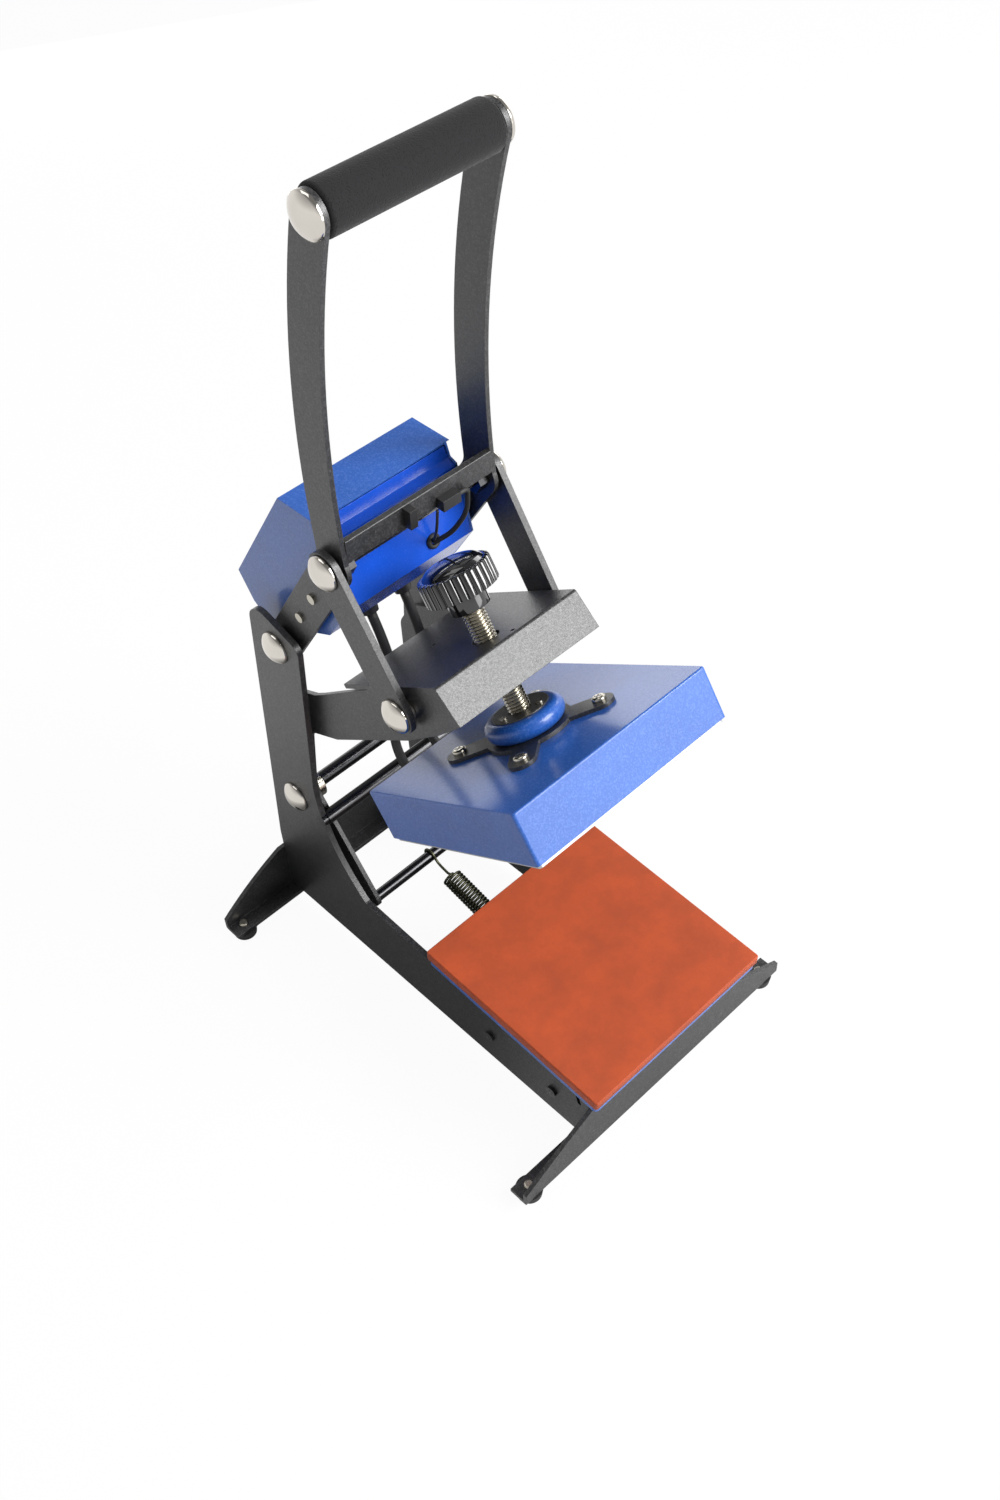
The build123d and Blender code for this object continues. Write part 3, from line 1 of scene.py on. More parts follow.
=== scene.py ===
"""Looks of the mini label heat press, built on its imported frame.

Metres, +Z up, the operator at -Y. Side views give points as (Y, Z) in millimetres, with Y
measured from the middle of the silicone pad, as on the drawing of the solid parts.
"""

from __future__ import annotations

import json
import logging
import math
from dataclasses import dataclass
from enum import Enum

import bmesh
import bpy
from mathutils import Matrix, Vector

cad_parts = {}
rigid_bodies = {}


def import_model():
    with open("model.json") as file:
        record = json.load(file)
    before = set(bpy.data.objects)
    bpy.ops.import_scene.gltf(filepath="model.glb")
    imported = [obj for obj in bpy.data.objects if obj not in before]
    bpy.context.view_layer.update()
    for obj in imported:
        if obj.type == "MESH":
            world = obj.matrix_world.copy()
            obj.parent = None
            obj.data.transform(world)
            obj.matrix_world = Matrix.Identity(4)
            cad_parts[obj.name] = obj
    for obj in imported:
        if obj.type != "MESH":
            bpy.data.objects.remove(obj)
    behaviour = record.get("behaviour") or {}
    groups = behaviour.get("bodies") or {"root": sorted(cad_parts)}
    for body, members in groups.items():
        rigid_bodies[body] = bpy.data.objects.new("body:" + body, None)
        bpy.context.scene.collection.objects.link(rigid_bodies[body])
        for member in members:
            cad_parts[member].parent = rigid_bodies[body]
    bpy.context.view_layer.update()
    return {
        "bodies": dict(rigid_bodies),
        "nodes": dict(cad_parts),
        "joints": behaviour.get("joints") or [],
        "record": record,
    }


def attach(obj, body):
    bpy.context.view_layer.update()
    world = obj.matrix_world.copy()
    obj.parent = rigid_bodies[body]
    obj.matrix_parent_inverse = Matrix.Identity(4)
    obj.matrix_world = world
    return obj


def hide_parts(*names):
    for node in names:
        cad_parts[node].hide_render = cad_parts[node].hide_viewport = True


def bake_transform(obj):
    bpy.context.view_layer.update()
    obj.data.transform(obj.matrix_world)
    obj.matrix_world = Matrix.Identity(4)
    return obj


log = logging.getLogger("label_press")

MM = 0.001
PAD_FROM_MIDDLE = 86.979
TILT = math.radians(33.2)
PLATEN_TOP = (48.4, 267.0)
SLOPE = math.radians(3.73)

Point = tuple[float, float, float]
Pair = tuple[float, float]
Face = tuple[int, ...]


class Slot(Enum):
    """Finishes of the record that the pieces take."""

    BLUE = "blue_powder_coat"
    BLACK = "black_powder_coat"
    NAVY = "navy_panel"
    CHROME = "chrome_caps"
    ZINC = "zinc_steel"
    BRIGHT = "bright_rod"
    ALUMINIUM = "aluminium_plate"
    SILICONE = "silicone"
    RUBBER = "rubber"
    FOAM = "foam"
    KNOB = "black_plastic"
    PLASTIC = "matt_plastic"
    BUTTON = "button_plastic"
    SPRING = "spring_steel"
    BOARD = "board"
    WOOL = "insulation"
    SCREW = "black_screws"
    DISPLAY = "display_glass"


def place(x: float, y: float, z: float) -> Vector:
    """Turn a drawing point in millimetres into the frame's metres.

    Args:
        x: Sideways, from the middle.
        y: From the middle of the pad towards the back.
        z: Above the table.

    Returns:
        The same point in the frame.
    """
    return Vector((x, y - PAD_FROM_MIDDLE, z)) * MM


def on_arm(x: float, along: float, above: float) -> Vector:
    """Turn a point measured on the tilted platen's top into the frame.

    Args:
        x: Sideways, from the middle.
        along: Towards the back, in the plane of the platen's top.
        above: Square to the platen's top.

    Returns:
        The same point in the frame.
    """
    y = PLATEN_TOP[0] + along * math.cos(TILT) + above * math.sin(TILT)
    z = PLATEN_TOP[1] - along * math.sin(TILT) + above * math.cos(TILT)
    return place(x, y, z)


def turned(axis: Vector) -> Matrix:
    """Rotation that takes +Z to an axis.

    Args:
        axis: Direction that the piece's own +Z should get.

    Returns:
        A 4 by 4 rotation.
    """
    return axis.to_track_quat("Z", "Y").to_matrix().to_4x4()


def skin(rings: int, sides: int, first: int = 0, closed: bool = False) -> list[Face]:
    """Faces over rings of points that follow each other.

    Args:
        rings: How many rings there are.
        sides: Points in each ring.
        first: Number of the first point.
        closed: Whether the last ring joins the first; if not, each end gets a flat face.

    Returns:
        Corner numbers of each face.
    """
    faces: list[Face] = []
    for i in range(rings if closed else rings - 1):
        low, high = first + i * sides, first + (i + 1) % rings * sides
        faces += [
            (low + k, low + (k + 1) % sides, high + (k + 1) % sides, high + k) for k in range(sides)
        ]
    if not closed:
        last = first + (rings - 1) * sides
        faces += [tuple(range(first, first + sides)), tuple(range(last, last + sides))]
    return faces


def make_object(name: str, verts: list[Vector], faces: list[Face], smooth: bool = True) -> bpy.types.Object:
    """Make a mesh object from points and faces.

    Args:
        name: Name of the piece.
        verts: Points in the frame.
        faces: Corner numbers of each face.
        smooth: Whether its faces are shaded smooth.

    Returns:
        The new object, linked to the scene.
    """
    mesh = bpy.data.meshes.new(name)
    mesh.from_pydata([tuple(v) for v in verts], [], faces)
    mesh.validate()
    work = bmesh.new()
    work.from_mesh(mesh)
    bmesh.ops.recalc_face_normals(work, faces=work.faces)
    work.to_mesh(mesh)
    work.free()
    mesh.polygons.foreach_set("use_smooth", [smooth] * len(mesh.polygons))
    piece = bpy.data.objects.new(name, mesh)
    bpy.context.scene.collection.objects.link(piece)
    return piece


def make_tube(
    name: str, path: list[Vector], radius: float, sides: int = 12, closed: bool = False
) -> bpy.types.Object:
    """Sweep a round section along a path without twist.

    Args:
        name: Name of the piece.
        path: Points of the centre line.
        radius: Radius of the section.
        sides: Corners of the section.
        closed: Whether the path closes on itself.

    Returns:
        The tube.
    """
    count = len(path)
    aims = []
    for i in range(count):
        before = path[i - 1] if closed or i else path[0]
        after = path[(i + 1) % count] if closed or i < count - 1 else path[i]
        aims.append((after - before).normalized())
    across = aims[0].orthogonal().normalized()
    verts: list[Vector] = []
    for point, aim in zip(path, aims):
        across = (across - aim * across.dot(aim)).normalized()
        up = aim.cross(across)
        for k in range(sides):
            turn = 2 * math.pi * k / sides
            verts.append(point + (across * math.cos(turn) + up * math.sin(turn)) * radius)
    return make_object(name, verts, skin(count, sides, closed=closed))


def make_turned(
    name: str, profile: list[Pair], seats: list[tuple[Vector, Vector]], sides: int = 64
) -> bpy.types.Object:
    """Turn a profile round one axis or several, as one piece.

    Args:
        name: Name of the piece.
        profile: (radius, height) points in millimetres; the first and last rings are closed flat.
        seats: For each copy, where height 0 lies and the direction of growing height.
        sides: Steps round the axis.

    Returns:
        The turned piece.
    """
    verts: list[Vector] = []
    faces: list[Face] = []
    for at, axis in seats:
        move = Matrix.Translation(at) @ turned(axis)
        faces += skin(len(profile), sides, len(verts))
        for radius, height in profile:
            for k in range(sides):
                turn = 2 * math.pi * k / sides
                verts.append(move @ (Vector((radius * math.cos(turn), radius * math.sin(turn), height)) * MM))
    return make_object(name, verts, faces)


def smooth_route(points: list[Vector]) -> list[Vector]:
    """Read the points of a smooth spline that is led by a route.

    Args:
        points: The route's points.

    Returns:
        Points along the spline.
    """
    curve = bpy.data.curves.new("route", "CURVE")
    curve.dimensions = "3D"
    spline = curve.splines.new("NURBS")
    spline.points.add(len(points) - 1)
    for at, point in zip(spline.points, points):
        at.co = (*point, 1.0)
    spline.order_u = 3
    spline.use_endpoint_u = True
    spline.resolution_u = 10
    holder = bpy.data.objects.new("route", curve)
    bpy.context.scene.collection.objects.link(holder)
    bpy.context.view_layer.update()
    line = bpy.data.meshes.new_from_object(holder.evaluated_get(bpy.context.evaluated_depsgraph_get()))
    found = [v.co.copy() for v in line.vertices]
    bpy.data.objects.remove(holder)
    bpy.data.curves.remove(curve)
    bpy.data.meshes.remove(line)
    return found


class Shader:
    """A node tree that is filled call by call."""

    def __init__(self, name: str) -> None:
        """Start an empty material of this name."""
        self.material = bpy.data.materials.new(name)
        self.material.use_nodes = True
        self.tree = self.material.node_tree
        self.tree.nodes.clear()
        self.output = self.tree.nodes.new("ShaderNodeOutputMaterial")
        self.principled = self.tree.nodes.new("ShaderNodeBsdfPrincipled")
        self.tree.links.new(self.principled.outputs[0], self.output.inputs["Surface"])

    def add(self, kind: str, settings: dict[str, object] | None = None, **sockets: object) -> bpy.types.Node:
        """Add a node.

        Args:
            kind: Node type without its ShaderNode prefix.
            settings: Properties of the node itself.
            **sockets: Values or outputs for its inputs, with _ for a space.

        Returns:
            The node.
        """
        node = self.tree.nodes.new("ShaderNode" + kind)
        for key, value in (settings or {}).items():
            setattr(node, key, value)
        for key, value in sockets.items():
            self.feed(node, key.replace("_", " "), value)
        return node

    def feed(self, node: bpy.types.Node, name: str, value: object) -> None:
        """Set one input of a node.

        Args:
            node: The node.
            name: The input's name, or its number.
            value: A plain value, or another node's output.
        """
        socket = node.inputs[int(name)] if name.isdigit() else node.inputs[name]
        if isinstance(value, bpy.types.NodeSocket):
            self.tree.links.new(value, socket)
        else:
            socket.default_value = value

    def surface(self, **sockets: object) -> None:
        """Set inputs of the surface itself."""
        for key, value in sockets.items():
            self.feed(self.principled, key.replace("_", " "), value)

    def coordinates(self) -> bpy.types.NodeSocket:
        """Place on the object, which moves with it."""
        return self.add("TexCoord").outputs["Object"]

    def noise(self, scale: float, detail: float = 3.0, rough: float = 0.5) -> bpy.types.NodeSocket:
        """Cloudy noise of so many cells to the metre."""
        node = self.add("TexNoise", Vector=self.coordinates(), Scale=scale, Detail=detail, Roughness=rough)
        return node.outputs[0]

    def spread(
        self, value: bpy.types.NodeSocket, low: float, high: float, out_low: float, out_high: float
    ) -> bpy.types.NodeSocket:
        """Take a value from one range to another, kept inside it."""
        node = self.add("MapRange", {"clamp": True}, Value=value)
        for index, number in enumerate((low, high, out_low, out_high)):
            node.inputs[index + 1].default_value = number
        return node.outputs[0]

    def share(self, value: bpy.types.NodeSocket, part: float) -> bpy.types.NodeSocket:
        """Multiply a value by a fixed part."""
        node = self.add("Math", {"operation": "MULTIPLY"}, **{"0": value})
        node.inputs[1].default_value = part
        return node.outputs[0]

    def blend(self, amount: bpy.types.NodeSocket, first: Point, second: Point) -> bpy.types.NodeSocket:
        """Mix two colours by an amount."""
        node = self.add("Mix", {"data_type": "RGBA"})
        self.tree.links.new(amount, node.inputs[0])
        for index, colour in ((6, first), (7, second)):
            if isinstance(colour, bpy.types.NodeSocket):
                self.tree.links.new(colour, node.inputs[index])
            else:
                node.inputs[index].default_value = (*colour, 1.0)
        return node.outputs[2]

    def edge(self, radius: float) -> tuple[bpy.types.NodeSocket, bpy.types.NodeSocket]:
        """Rounded normal at the edges, and how near an edge lies.

        Args:
            radius: Radius of the rounded edge.

        Returns:
            The normal, and a value that is 0 on flats and rises at edges.
        """
        bevel = self.add("Bevel", {"samples": 4}, Radius=radius)
        flat = self.add("NewGeometry")
        dot = self.add("VectorMath", {"operation": "DOT_PRODUCT"})
        self.tree.links.new(bevel.outputs[0], dot.inputs[0])
        self.tree.links.new(flat.outputs["True Normal"], dot.inputs[1])
        return bevel.outputs[0], self.spread(dot.outputs["Value"], 0.99, 0.86, 0.0, 1.0)

    def bump(
        self, height: bpy.types.NodeSocket, depth: float, normal: bpy.types.NodeSocket | None = None
    ) -> bpy.types.NodeSocket:
        """Turn a height into a surface normal of a real depth in metres."""
        node = self.add("Bump", Height=height, Distance=depth, Strength=1.0)
        if normal is not None:
            self.tree.links.new(normal, node.inputs["Normal"])
        return node.outputs[0]


@dataclass(frozen=True)
class PowderCoat:
    """Baked powder paint: fine grain, faint flecks, and edges lighter partly from wear and partly from a
    painted highlight.
    """

    colour: Point
    fleck: Point
    # Colour at the edges: partly wear, partly a painted edge highlight, a lighter copy of the base colour.
    edge_wear_and_highlight: Point
    roughness: float = 0.36
    grain: float = 2600.0
    depth: float = 0.00004
    flecks: float = 0.5
    coat: float = 0.0
    edge_radius: float = 0.0005
    cells: float = 1150.0
    coat_roughness: float = 0.15

    def build(self, name: str) -> bpy.types.Material:
        """Make the material."""
        shader = Shader(name)
        normal, edge = shader.edge(self.edge_radius)
        cloud = shader.spread(shader.noise(38.0, 4.0), 0.3, 0.7, 0.0, 1.0)
        shade = tuple(c * 0.86 for c in self.colour)
        base = shader.blend(cloud, shade, self.colour)
        cells = shader.add("TexVoronoi", Vector=shader.coordinates(), Scale=self.cells)
        spark = shader.spread(cells.outputs["Color"], 0.45, 1.0, 0.0, self.flecks)
        flecked = shader.blend(spark, base, self.fleck)
        # Edges are painted lighter: partly wear, partly a painted highlight where light catches them.
        edge_wear_and_highlight = shader.spread(edge, 0.2, 1.0, 0.0, 0.65)
        shader.surface(Base_Color=shader.blend(edge_wear_and_highlight, flecked, self.edge_wear_and_highlight))
        fine = shader.noise(900.0)
        shader.surface(Roughness=shader.spread(fine, 0.3, 0.7, self.roughness - 0.05, self.roughness + 0.07))
        if self.coat:
            shader.surface(Coat_Weight=self.coat, Coat_Roughness=self.coat_roughness, Specular_IOR_Level=0.3)
        else:
            shader.surface(Specular_IOR_Level=0.7)
        grain = shader.noise(self.grain, 2.0, 0.6)
        shader.surface(Normal=shader.bump(grain, self.depth, normal))
        return shader.material


@dataclass(frozen=True)
class Metal:
    """Bare or plated metal with fine lines or a polish."""

    colour: Point
    roughness: float = 0.25
    lines: float = 0.0
    clouds: float = 30.0
    depth: float = 0.000006
    edge_radius: float = 0.0003

    def build(self, name: str) -> bpy.types.Material:
        """Make the material."""
        shader = Shader(name)
        normal = shader.edge(self.edge_radius)[0] if self.edge_radius else None
        cloud = shader.spread(shader.noise(self.clouds, 5.0), 0.3, 0.7, 0.0, 1.0)
        dull = tuple(c * 0.84 for c in self.colour)
        shader.surface(Metallic=1.0, Base_Color=shader.blend(cloud, dull, self.colour))
        shader.surface(Roughness=shader.spread(cloud, 0.0, 1.0, self.roughness + 0.06, self.roughness))
        stretched = shader.add("Mapping", Vector=shader.coordinates())
        stretched.inputs["Scale"].default_value = (60.0, 1.0, 1.0) if self.lines else (1.0, 1.0, 1.0)
        fine = shader.add("TexNoise", Vector=stretched.outputs[0], Scale=self.lines or 700.0, Detail=3.0)
        shader.surface(Normal=shader.bump(fine.outputs[0], self.depth, normal))
        return shader.material


@dataclass(frozen=True)
class Moulded:
    """Moulded plastic or rubber with a fine skin."""

    colour: Point
    second: Point
    roughness: float = 0.4
    skin: float = 1800.0
    depth: float = 0.00002
    coat: float = 0.0
    sheen: float = 0.0
    edge_radius: float = 0.0004
    mottle: float = 60.0

    def build(self, name: str) -> bpy.types.Material:
        """Make the material."""
        shader = Shader(name)
        normal = shader.edge(self.edge_radius)[0]
        cloud = shader.spread(shader.noise(self.mottle, 6.0, 0.6), 0.35, 0.65, 0.0, 1.0)
        shader.surface(Base_Color=shader.blend(cloud, self.second, self.colour))
        shader.surface(Roughness=shader.spread(cloud, 0.0, 1.0, self.roughness + 0.06, self.roughness))
        if self.coat:
            shader.surface(Coat_Weight=self.coat, Coat_Roughness=0.06)
        if self.sheen:
            shader.surface(Sheen_Weight=self.sheen, Sheen_Roughness=0.5)
        shader.surface(Normal=shader.bump(shader.noise(self.skin, 3.0, 0.65), self.depth, normal))
        return shader.material


@dataclass(frozen=True)
class Foam:
    """Open foam of a hand grip: matt, with small pores painted darker as painted shade."""

    colour: Point = (0.011, 0.011, 0.012)
    # Colour in the pores: a darker copy of the foam, painted shade in the holes.
    pore_shade: Point = (0.004, 0.004, 0.004)
    pores: float = 900.0

    def build(self, name: str) -> bpy.types.Material:
        """Make the material."""
        shader = Shader(name)
        cells = shader.add("TexVoronoi", Vector=shader.coordinates(), Scale=self.pores)
        hole = shader.spread(cells.outputs["Distance"], 0.08, 0.45, 0.0, 1.0)
        # The pores get the darker colour: painted shade in the foam's holes.
        shader.surface(Base_Color=shader.blend(hole, self.pore_shade, self.colour))
        shader.surface(Roughness=0.88, Sheen_Weight=0.1, Sheen_Roughness=0.45, Specular_IOR_Level=0.3)
        soft = shader.noise(260.0, 4.0)
        mixed = shader.add("Math", {"operation": "MULTIPLY_ADD"})
        shader.tree.links.new(soft, mixed.inputs[0])
        mixed.inputs[1].default_value = 1.4
        shader.tree.links.new(hole, mixed.inputs[2])
        shader.surface(Normal=shader.bump(mixed.outputs[0], 0.00014))
        return shader.material


@dataclass(frozen=True)
class SiliconeSheet:
    """Orange silicone rubber with faint darker blotches."""

    colour: Point = (0.43, 0.066, 0.015)
    blotch: Point = (0.33, 0.052, 0.014)

    def build(self, name: str) -> bpy.types.Material:
        """Make the material."""
        shader = Shader(name)
        cloud = shader.spread(shader.noise(42.0, 8.0, 0.7), 0.36, 0.66, 0.0, 1.0)
        speck = shader.spread(shader.noise(620.0, 2.0, 0.5), 0.62, 0.75, 0.0, 0.35)
        base = shader.blend(cloud, self.blotch, self.colour)
        shader.surface(Base_Color=shader.blend(speck, base, self.blotch))
        shader.surface(Roughness=0.62, Specular_IOR_Level=0.35)
        shader.surface(Normal=shader.bump(shader.noise(1500.0, 4.0, 0.6), 0.00004))
        return shader.material


FINISHES = {
    Slot.BLUE: PowderCoat(
        (0.013, 0.095, 0.42), (0.13, 0.26, 0.7), (0.03, 0.13, 0.52), 0.42, 1500.0, 0.00005, 0.3, 0.6
    ),
    Slot.BLACK: PowderCoat(
        (0.013, 0.013, 0.014), (0.34, 0.34, 0.36), (0.1, 0.1, 0.105), 0.38, 1500.0, 0.0001, 0.13
    ),
    Slot.NAVY: PowderCoat(
        (0.01, 0.085, 0.6), (0.05, 0.16, 0.75), (0.03, 0.12, 0.65), 0.22, 1600.0, 0.00001, 0.1, 0.5
    ),
    Slot.CHROME: Metal((0.72, 0.68, 0.62), 0.06, depth=0.000002, edge_radius=0.0),
    Slot.ZINC: Metal((0.5, 0.47, 0.4), 0.2, 160.0, edge_radius=0.0),
    Slot.BRIGHT: Metal((0.6, 0.6, 0.6), 0.2, 120.0, edge_radius=0.0),
    Slot.ALUMINIUM: Metal((0.5, 0.5, 0.51), 0.38, 90.0, 20.0, 0.00002),
    Slot.RUBBER: Moulded((0.012, 0.012, 0.012), (0.018, 0.018, 0.018), 0.55, 1200.0, 0.00003),
    Slot.KNOB: Moulded(
        (0.004, 0.004, 0.005), (0.006, 0.006, 0.007), 0.06, 300.0, 0.000002, 1.0, edge_radius=0.00012
    ),
    Slot.PLASTIC: Moulded((0.01, 0.01, 0.011), (0.015, 0.015, 0.016), 0.38, 1500.0, 0.00002),
    Slot.BUTTON: Moulded((0.72, 0.71, 0.68), (0.66, 0.65, 0.62), 0.35, 1500.0, 0.00001),
    Slot.SPRING: Metal((0.1, 0.1, 0.065), 0.34, 0.0, 200.0, edge_radius=0.0),
    Slot.BOARD: Moulded((0.01, 0.14, 0.05), (0.012, 0.18, 0.06), 0.4, 300.0, 0.00003, 0.2),
    Slot.WOOL: Moulded((0.7, 0.67, 0.58), (0.6, 0.57, 0.48), 0.9, 400.0, 0.0003),
    Slot.SCREW: Moulded((0.012, 0.012, 0.013), (0.02, 0.02, 0.021), 0.25, 900.0, 0.00001, 0.2),
    Slot.DISPLAY: Moulded((0.012, 0.012, 0.014), (0.014, 0.014, 0.016), 0.12, 300.0, 0.000003, 0.6),
    Slot.FOAM: Foam(),
    Slot.SILICONE: SiliconeSheet(),
}


BLACKENED = ("handle_axle", "arm_axle", "stop_rod", "spring_rod", "axle_spacers", "link_rod_nuts")


class Paintbox:
    """All finishes, made once and shared."""

    def __init__(self) -> None:
        """Make every finish."""
        self.made = {slot: finish.build(slot.value) for slot, finish in FINISHES.items()}
        self.rod = Metal((0.05, 0.05, 0.052), 0.22, 140.0, edge_radius=0.0).build("blackened_rod")

    def dress(self, piece: bpy.types.Object, slot: Slot) -> None:
        """Give a new piece one finish.

        Args:
            piece: The piece.
            slot: The finish that it takes.
        """
        piece.data.materials.clear()
        piece.data.materials.append(self.made[slot])

    def dress_nodes(self, frame: dict) -> None:
        """Give every solid part the finish that the record names; the parts in BLACKENED get the blackened
        rod finish instead.

        Args:
            frame: The loaded frame.
        """
        slots = {row["node"]: Slot(row["material_slot"]) for row in frame["record"]["subparts"]}
        for name, node in frame["nodes"].items():
            node.data.materials.clear()
            node.data.materials.append(self.rod if name in BLACKENED else self.made[slots[name]])
            log.info("dressed %s in %s", name, slots[name].value)


@dataclass
class Grip:
    """Foam hand grip between the two bars."""

    paints: Paintbox
    axis: Pair = (115.0, 586.0)
    half: float = 52.6
    radius: float = 13.19
    bore: float = 10.25
    edge: float = 2.4
    steps: int = 6
    cuts: int = 12

    def build(self) -> list[bpy.types.Object]:
        """Make the foam sleeve with soft ends.

        Returns:
            The sleeve.
        """
        profile = [(self.bore, -self.half)]
        for i in range(self.steps + 1):
            turn = math.pi / 2 * i / self.steps
            inward, along = self.edge * (1 - math.sin(turn)), self.edge * (1 - math.cos(turn))
            profile.append((self.radius - inward, -self.half + along))
        for i in range(1, self.cuts):
            profile.append((self.radius, (self.half - self.edge) * (2 * i / self.cuts - 1)))
        profile += [(r, -h) for r, h in reversed(profile[: self.steps + 2])]
        sleeve = make_turned("foam_sleeve", profile, [(place(0, *self.axis), Vector((1, 0, 0)))], 72)
        work = bmesh.new()
        work.from_mesh(sleeve.data)
        caps = [f for f in work.faces if len(f.verts) > 4]
        bmesh.ops.delete(work, geom=caps, context="FACES_ONLY")
        rims = [e for e in work.edges if e.is_boundary]
        bmesh.ops.bridge_loops(work, edges=rims)
        bmesh.ops.recalc_face_normals(work, faces=work.faces)
        work.to_mesh(sleeve.data)
        work.free()
        self.paints.dress(sleeve, Slot.FOAM)
        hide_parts("foam_grip")
        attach(sleeve, "handle")
        return [sleeve]


@dataclass(frozen=True)
class CapPlan:
    """One kind of domed cap: its name, node and body, its places, and its size."""

    name: str
    node: str
    body: str
    places: tuple[Pair, ...]
    half: float
    radius: float
    height: float
    shank: tuple[Pair, ...] = ()


@dataclass
class DomedCaps:
    """Polished domes on the axles, the rods, the link pins and the grip's bolts."""

    paints: Paintbox
    rim: float = 1.6
    steps: int = 14
    plans: tuple[CapPlan, ...] = (
        CapPlan("axle_domes", "axle_caps", "base", ((201.1, 276.4), (212.8, 130.6)), 63.0, 11.0, 6.6),
        CapPlan("link_domes", "link_caps", "handle", ((138.6, 372.0),), 62.3, 11.0, 6.6),
        CapPlan(
            "grip_domes", "grip_bolts", "handle", ((115.0, 586.0),), 56.0, 12.0, 6.4,
            ((4.0, -15.0), (4.0, 0.0)),
        ),
        CapPlan(
            "pin_domes", "link_pins", "links", ((90.9, 295.8),), 62.0, 11.0, 6.6,
            ((8.0, -7.7), (8.0, -4.0), (4.0, -4.0), (4.0, 0.0)),
        ),
    )

    def outline(self, plan: CapPlan) -> list[Pair]:
        """Profile of one cap, from its shank or seat to the top of its dome.

        Args:
            plan: The kind of cap.

        Returns:
            (radius, height) points in millimetres.
        """
        radius, rise = plan.radius, plan.height - self.rim
        ball = (radius**2 + rise**2) / (2 * rise)
        points = [*plan.shank, (radius - 0.25, 0.0), (radius, 0.25)]
        points += [(radius, self.rim - 0.35), (radius - 0.12, self.rim - 0.05)]
        widest = math.asin(radius / ball) * 0.975
        for i in range(self.steps):
            lean = widest * (1 - i / self.steps)
            points.append((ball * math.sin(lean), plan.height - ball * (1 - math.cos(lean))))
        return points

    def build(self) -> list[bpy.types.Object]:
        """Make every kind of cap.

        Returns:
            One piece for each kind.
        """
        made = []
        for plan in self.plans:
            seats = [
                (place(side * plan.half, *at), Vector((side, 0, 0))) for at in plan.places for side in (-1, 1)
            ]
            piece = make_turned(plan.name, self.outline(plan), seats)
            piece.data.set_sharp_from_angle(angle=math.radians(32))
            self.paints.dress(piece, Slot.CHROME)
            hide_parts(plan.node)
            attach(piece, plan.body)
            made.append(piece)
        return made


@dataclass
class WorkPad:
    """Silicone pad on the lower platen."""

    paints: Paintbox
    top: float = 94.5
    side: float = 150.0
    thickness: float = 7.0
    corner: float = 1.6
    edge: float = 0.9
    cells: int = 36

    def height(self, x: float, y: float) -> float:
        """Slight waves of the pad's top, below its flat by up to a tenth of a millimetre."""
        return -0.06 + 0.04 * math.sin(x * 0.07 + 0.8) * math.cos(y * 0.055)

    def build(self) -> list[bpy.types.Object]:
        """Make the pad as a soft-edged slab.

        Returns:
            The pad.
        """
        work = bmesh.new()
        bmesh.ops.create_cube(work, size=1.0)
        bmesh.ops.scale(work, vec=(self.side, self.side, self.thickness), verts=work.verts)
        uprights = [e for e in work.edges if abs(e.verts[0].co.z - e.verts[1].co.z) > 1]
        bmesh.ops.bevel(work, geom=uprights, offset=self.corner, segments=4, profile=0.5, affect="EDGES")
        rims = [e for e in work.edges if e.verts[0].co.z > 3 and e.verts[1].co.z > 3]
        bmesh.ops.bevel(work, geom=rims, offset=self.edge, segments=4, profile=0.5, affect="EDGES")
        for index in (0, 1):
            for cut in range(1, self.cells):
                level = Vector((0, 0, 0))
                level[index] = self.side * (cut / self.cells - 0.5)
                way = Vector((0, 0, 0))
                way[index] = 1
                every = work.verts[:] + work.edges[:] + work.faces[:]
                bmesh.ops.bisect_plane(work, geom=every, plane_co=level, plane_no=way)
        flat = self.thickness / 2 - 0.001
        for vert in work.verts:
            if vert.co.z > flat:
                vert.co.z += self.height(vert.co.x, vert.co.y)
        mesh = bpy.data.meshes.new("silicone_sheet")
        work.to_mesh(mesh)
        work.free()
        below = self.thickness / 2
        middle = place(0, below * math.sin(SLOPE), self.top - below * math.cos(SLOPE))
        mesh.transform(Matrix.Translation(middle) @ Matrix.Rotation(SLOPE, 4, "X") @ Matrix.Scale(MM, 4))
        mesh.polygons.foreach_set("use_smooth", [True] * len(mesh.polygons))
        pad = bpy.data.objects.new("silicone_sheet", mesh)
        bpy.context.scene.collection.objects.link(pad)
        self.paints.dress(pad, Slot.SILICONE)
        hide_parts("silicone_pad")
        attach(pad, "base")
        return [pad]


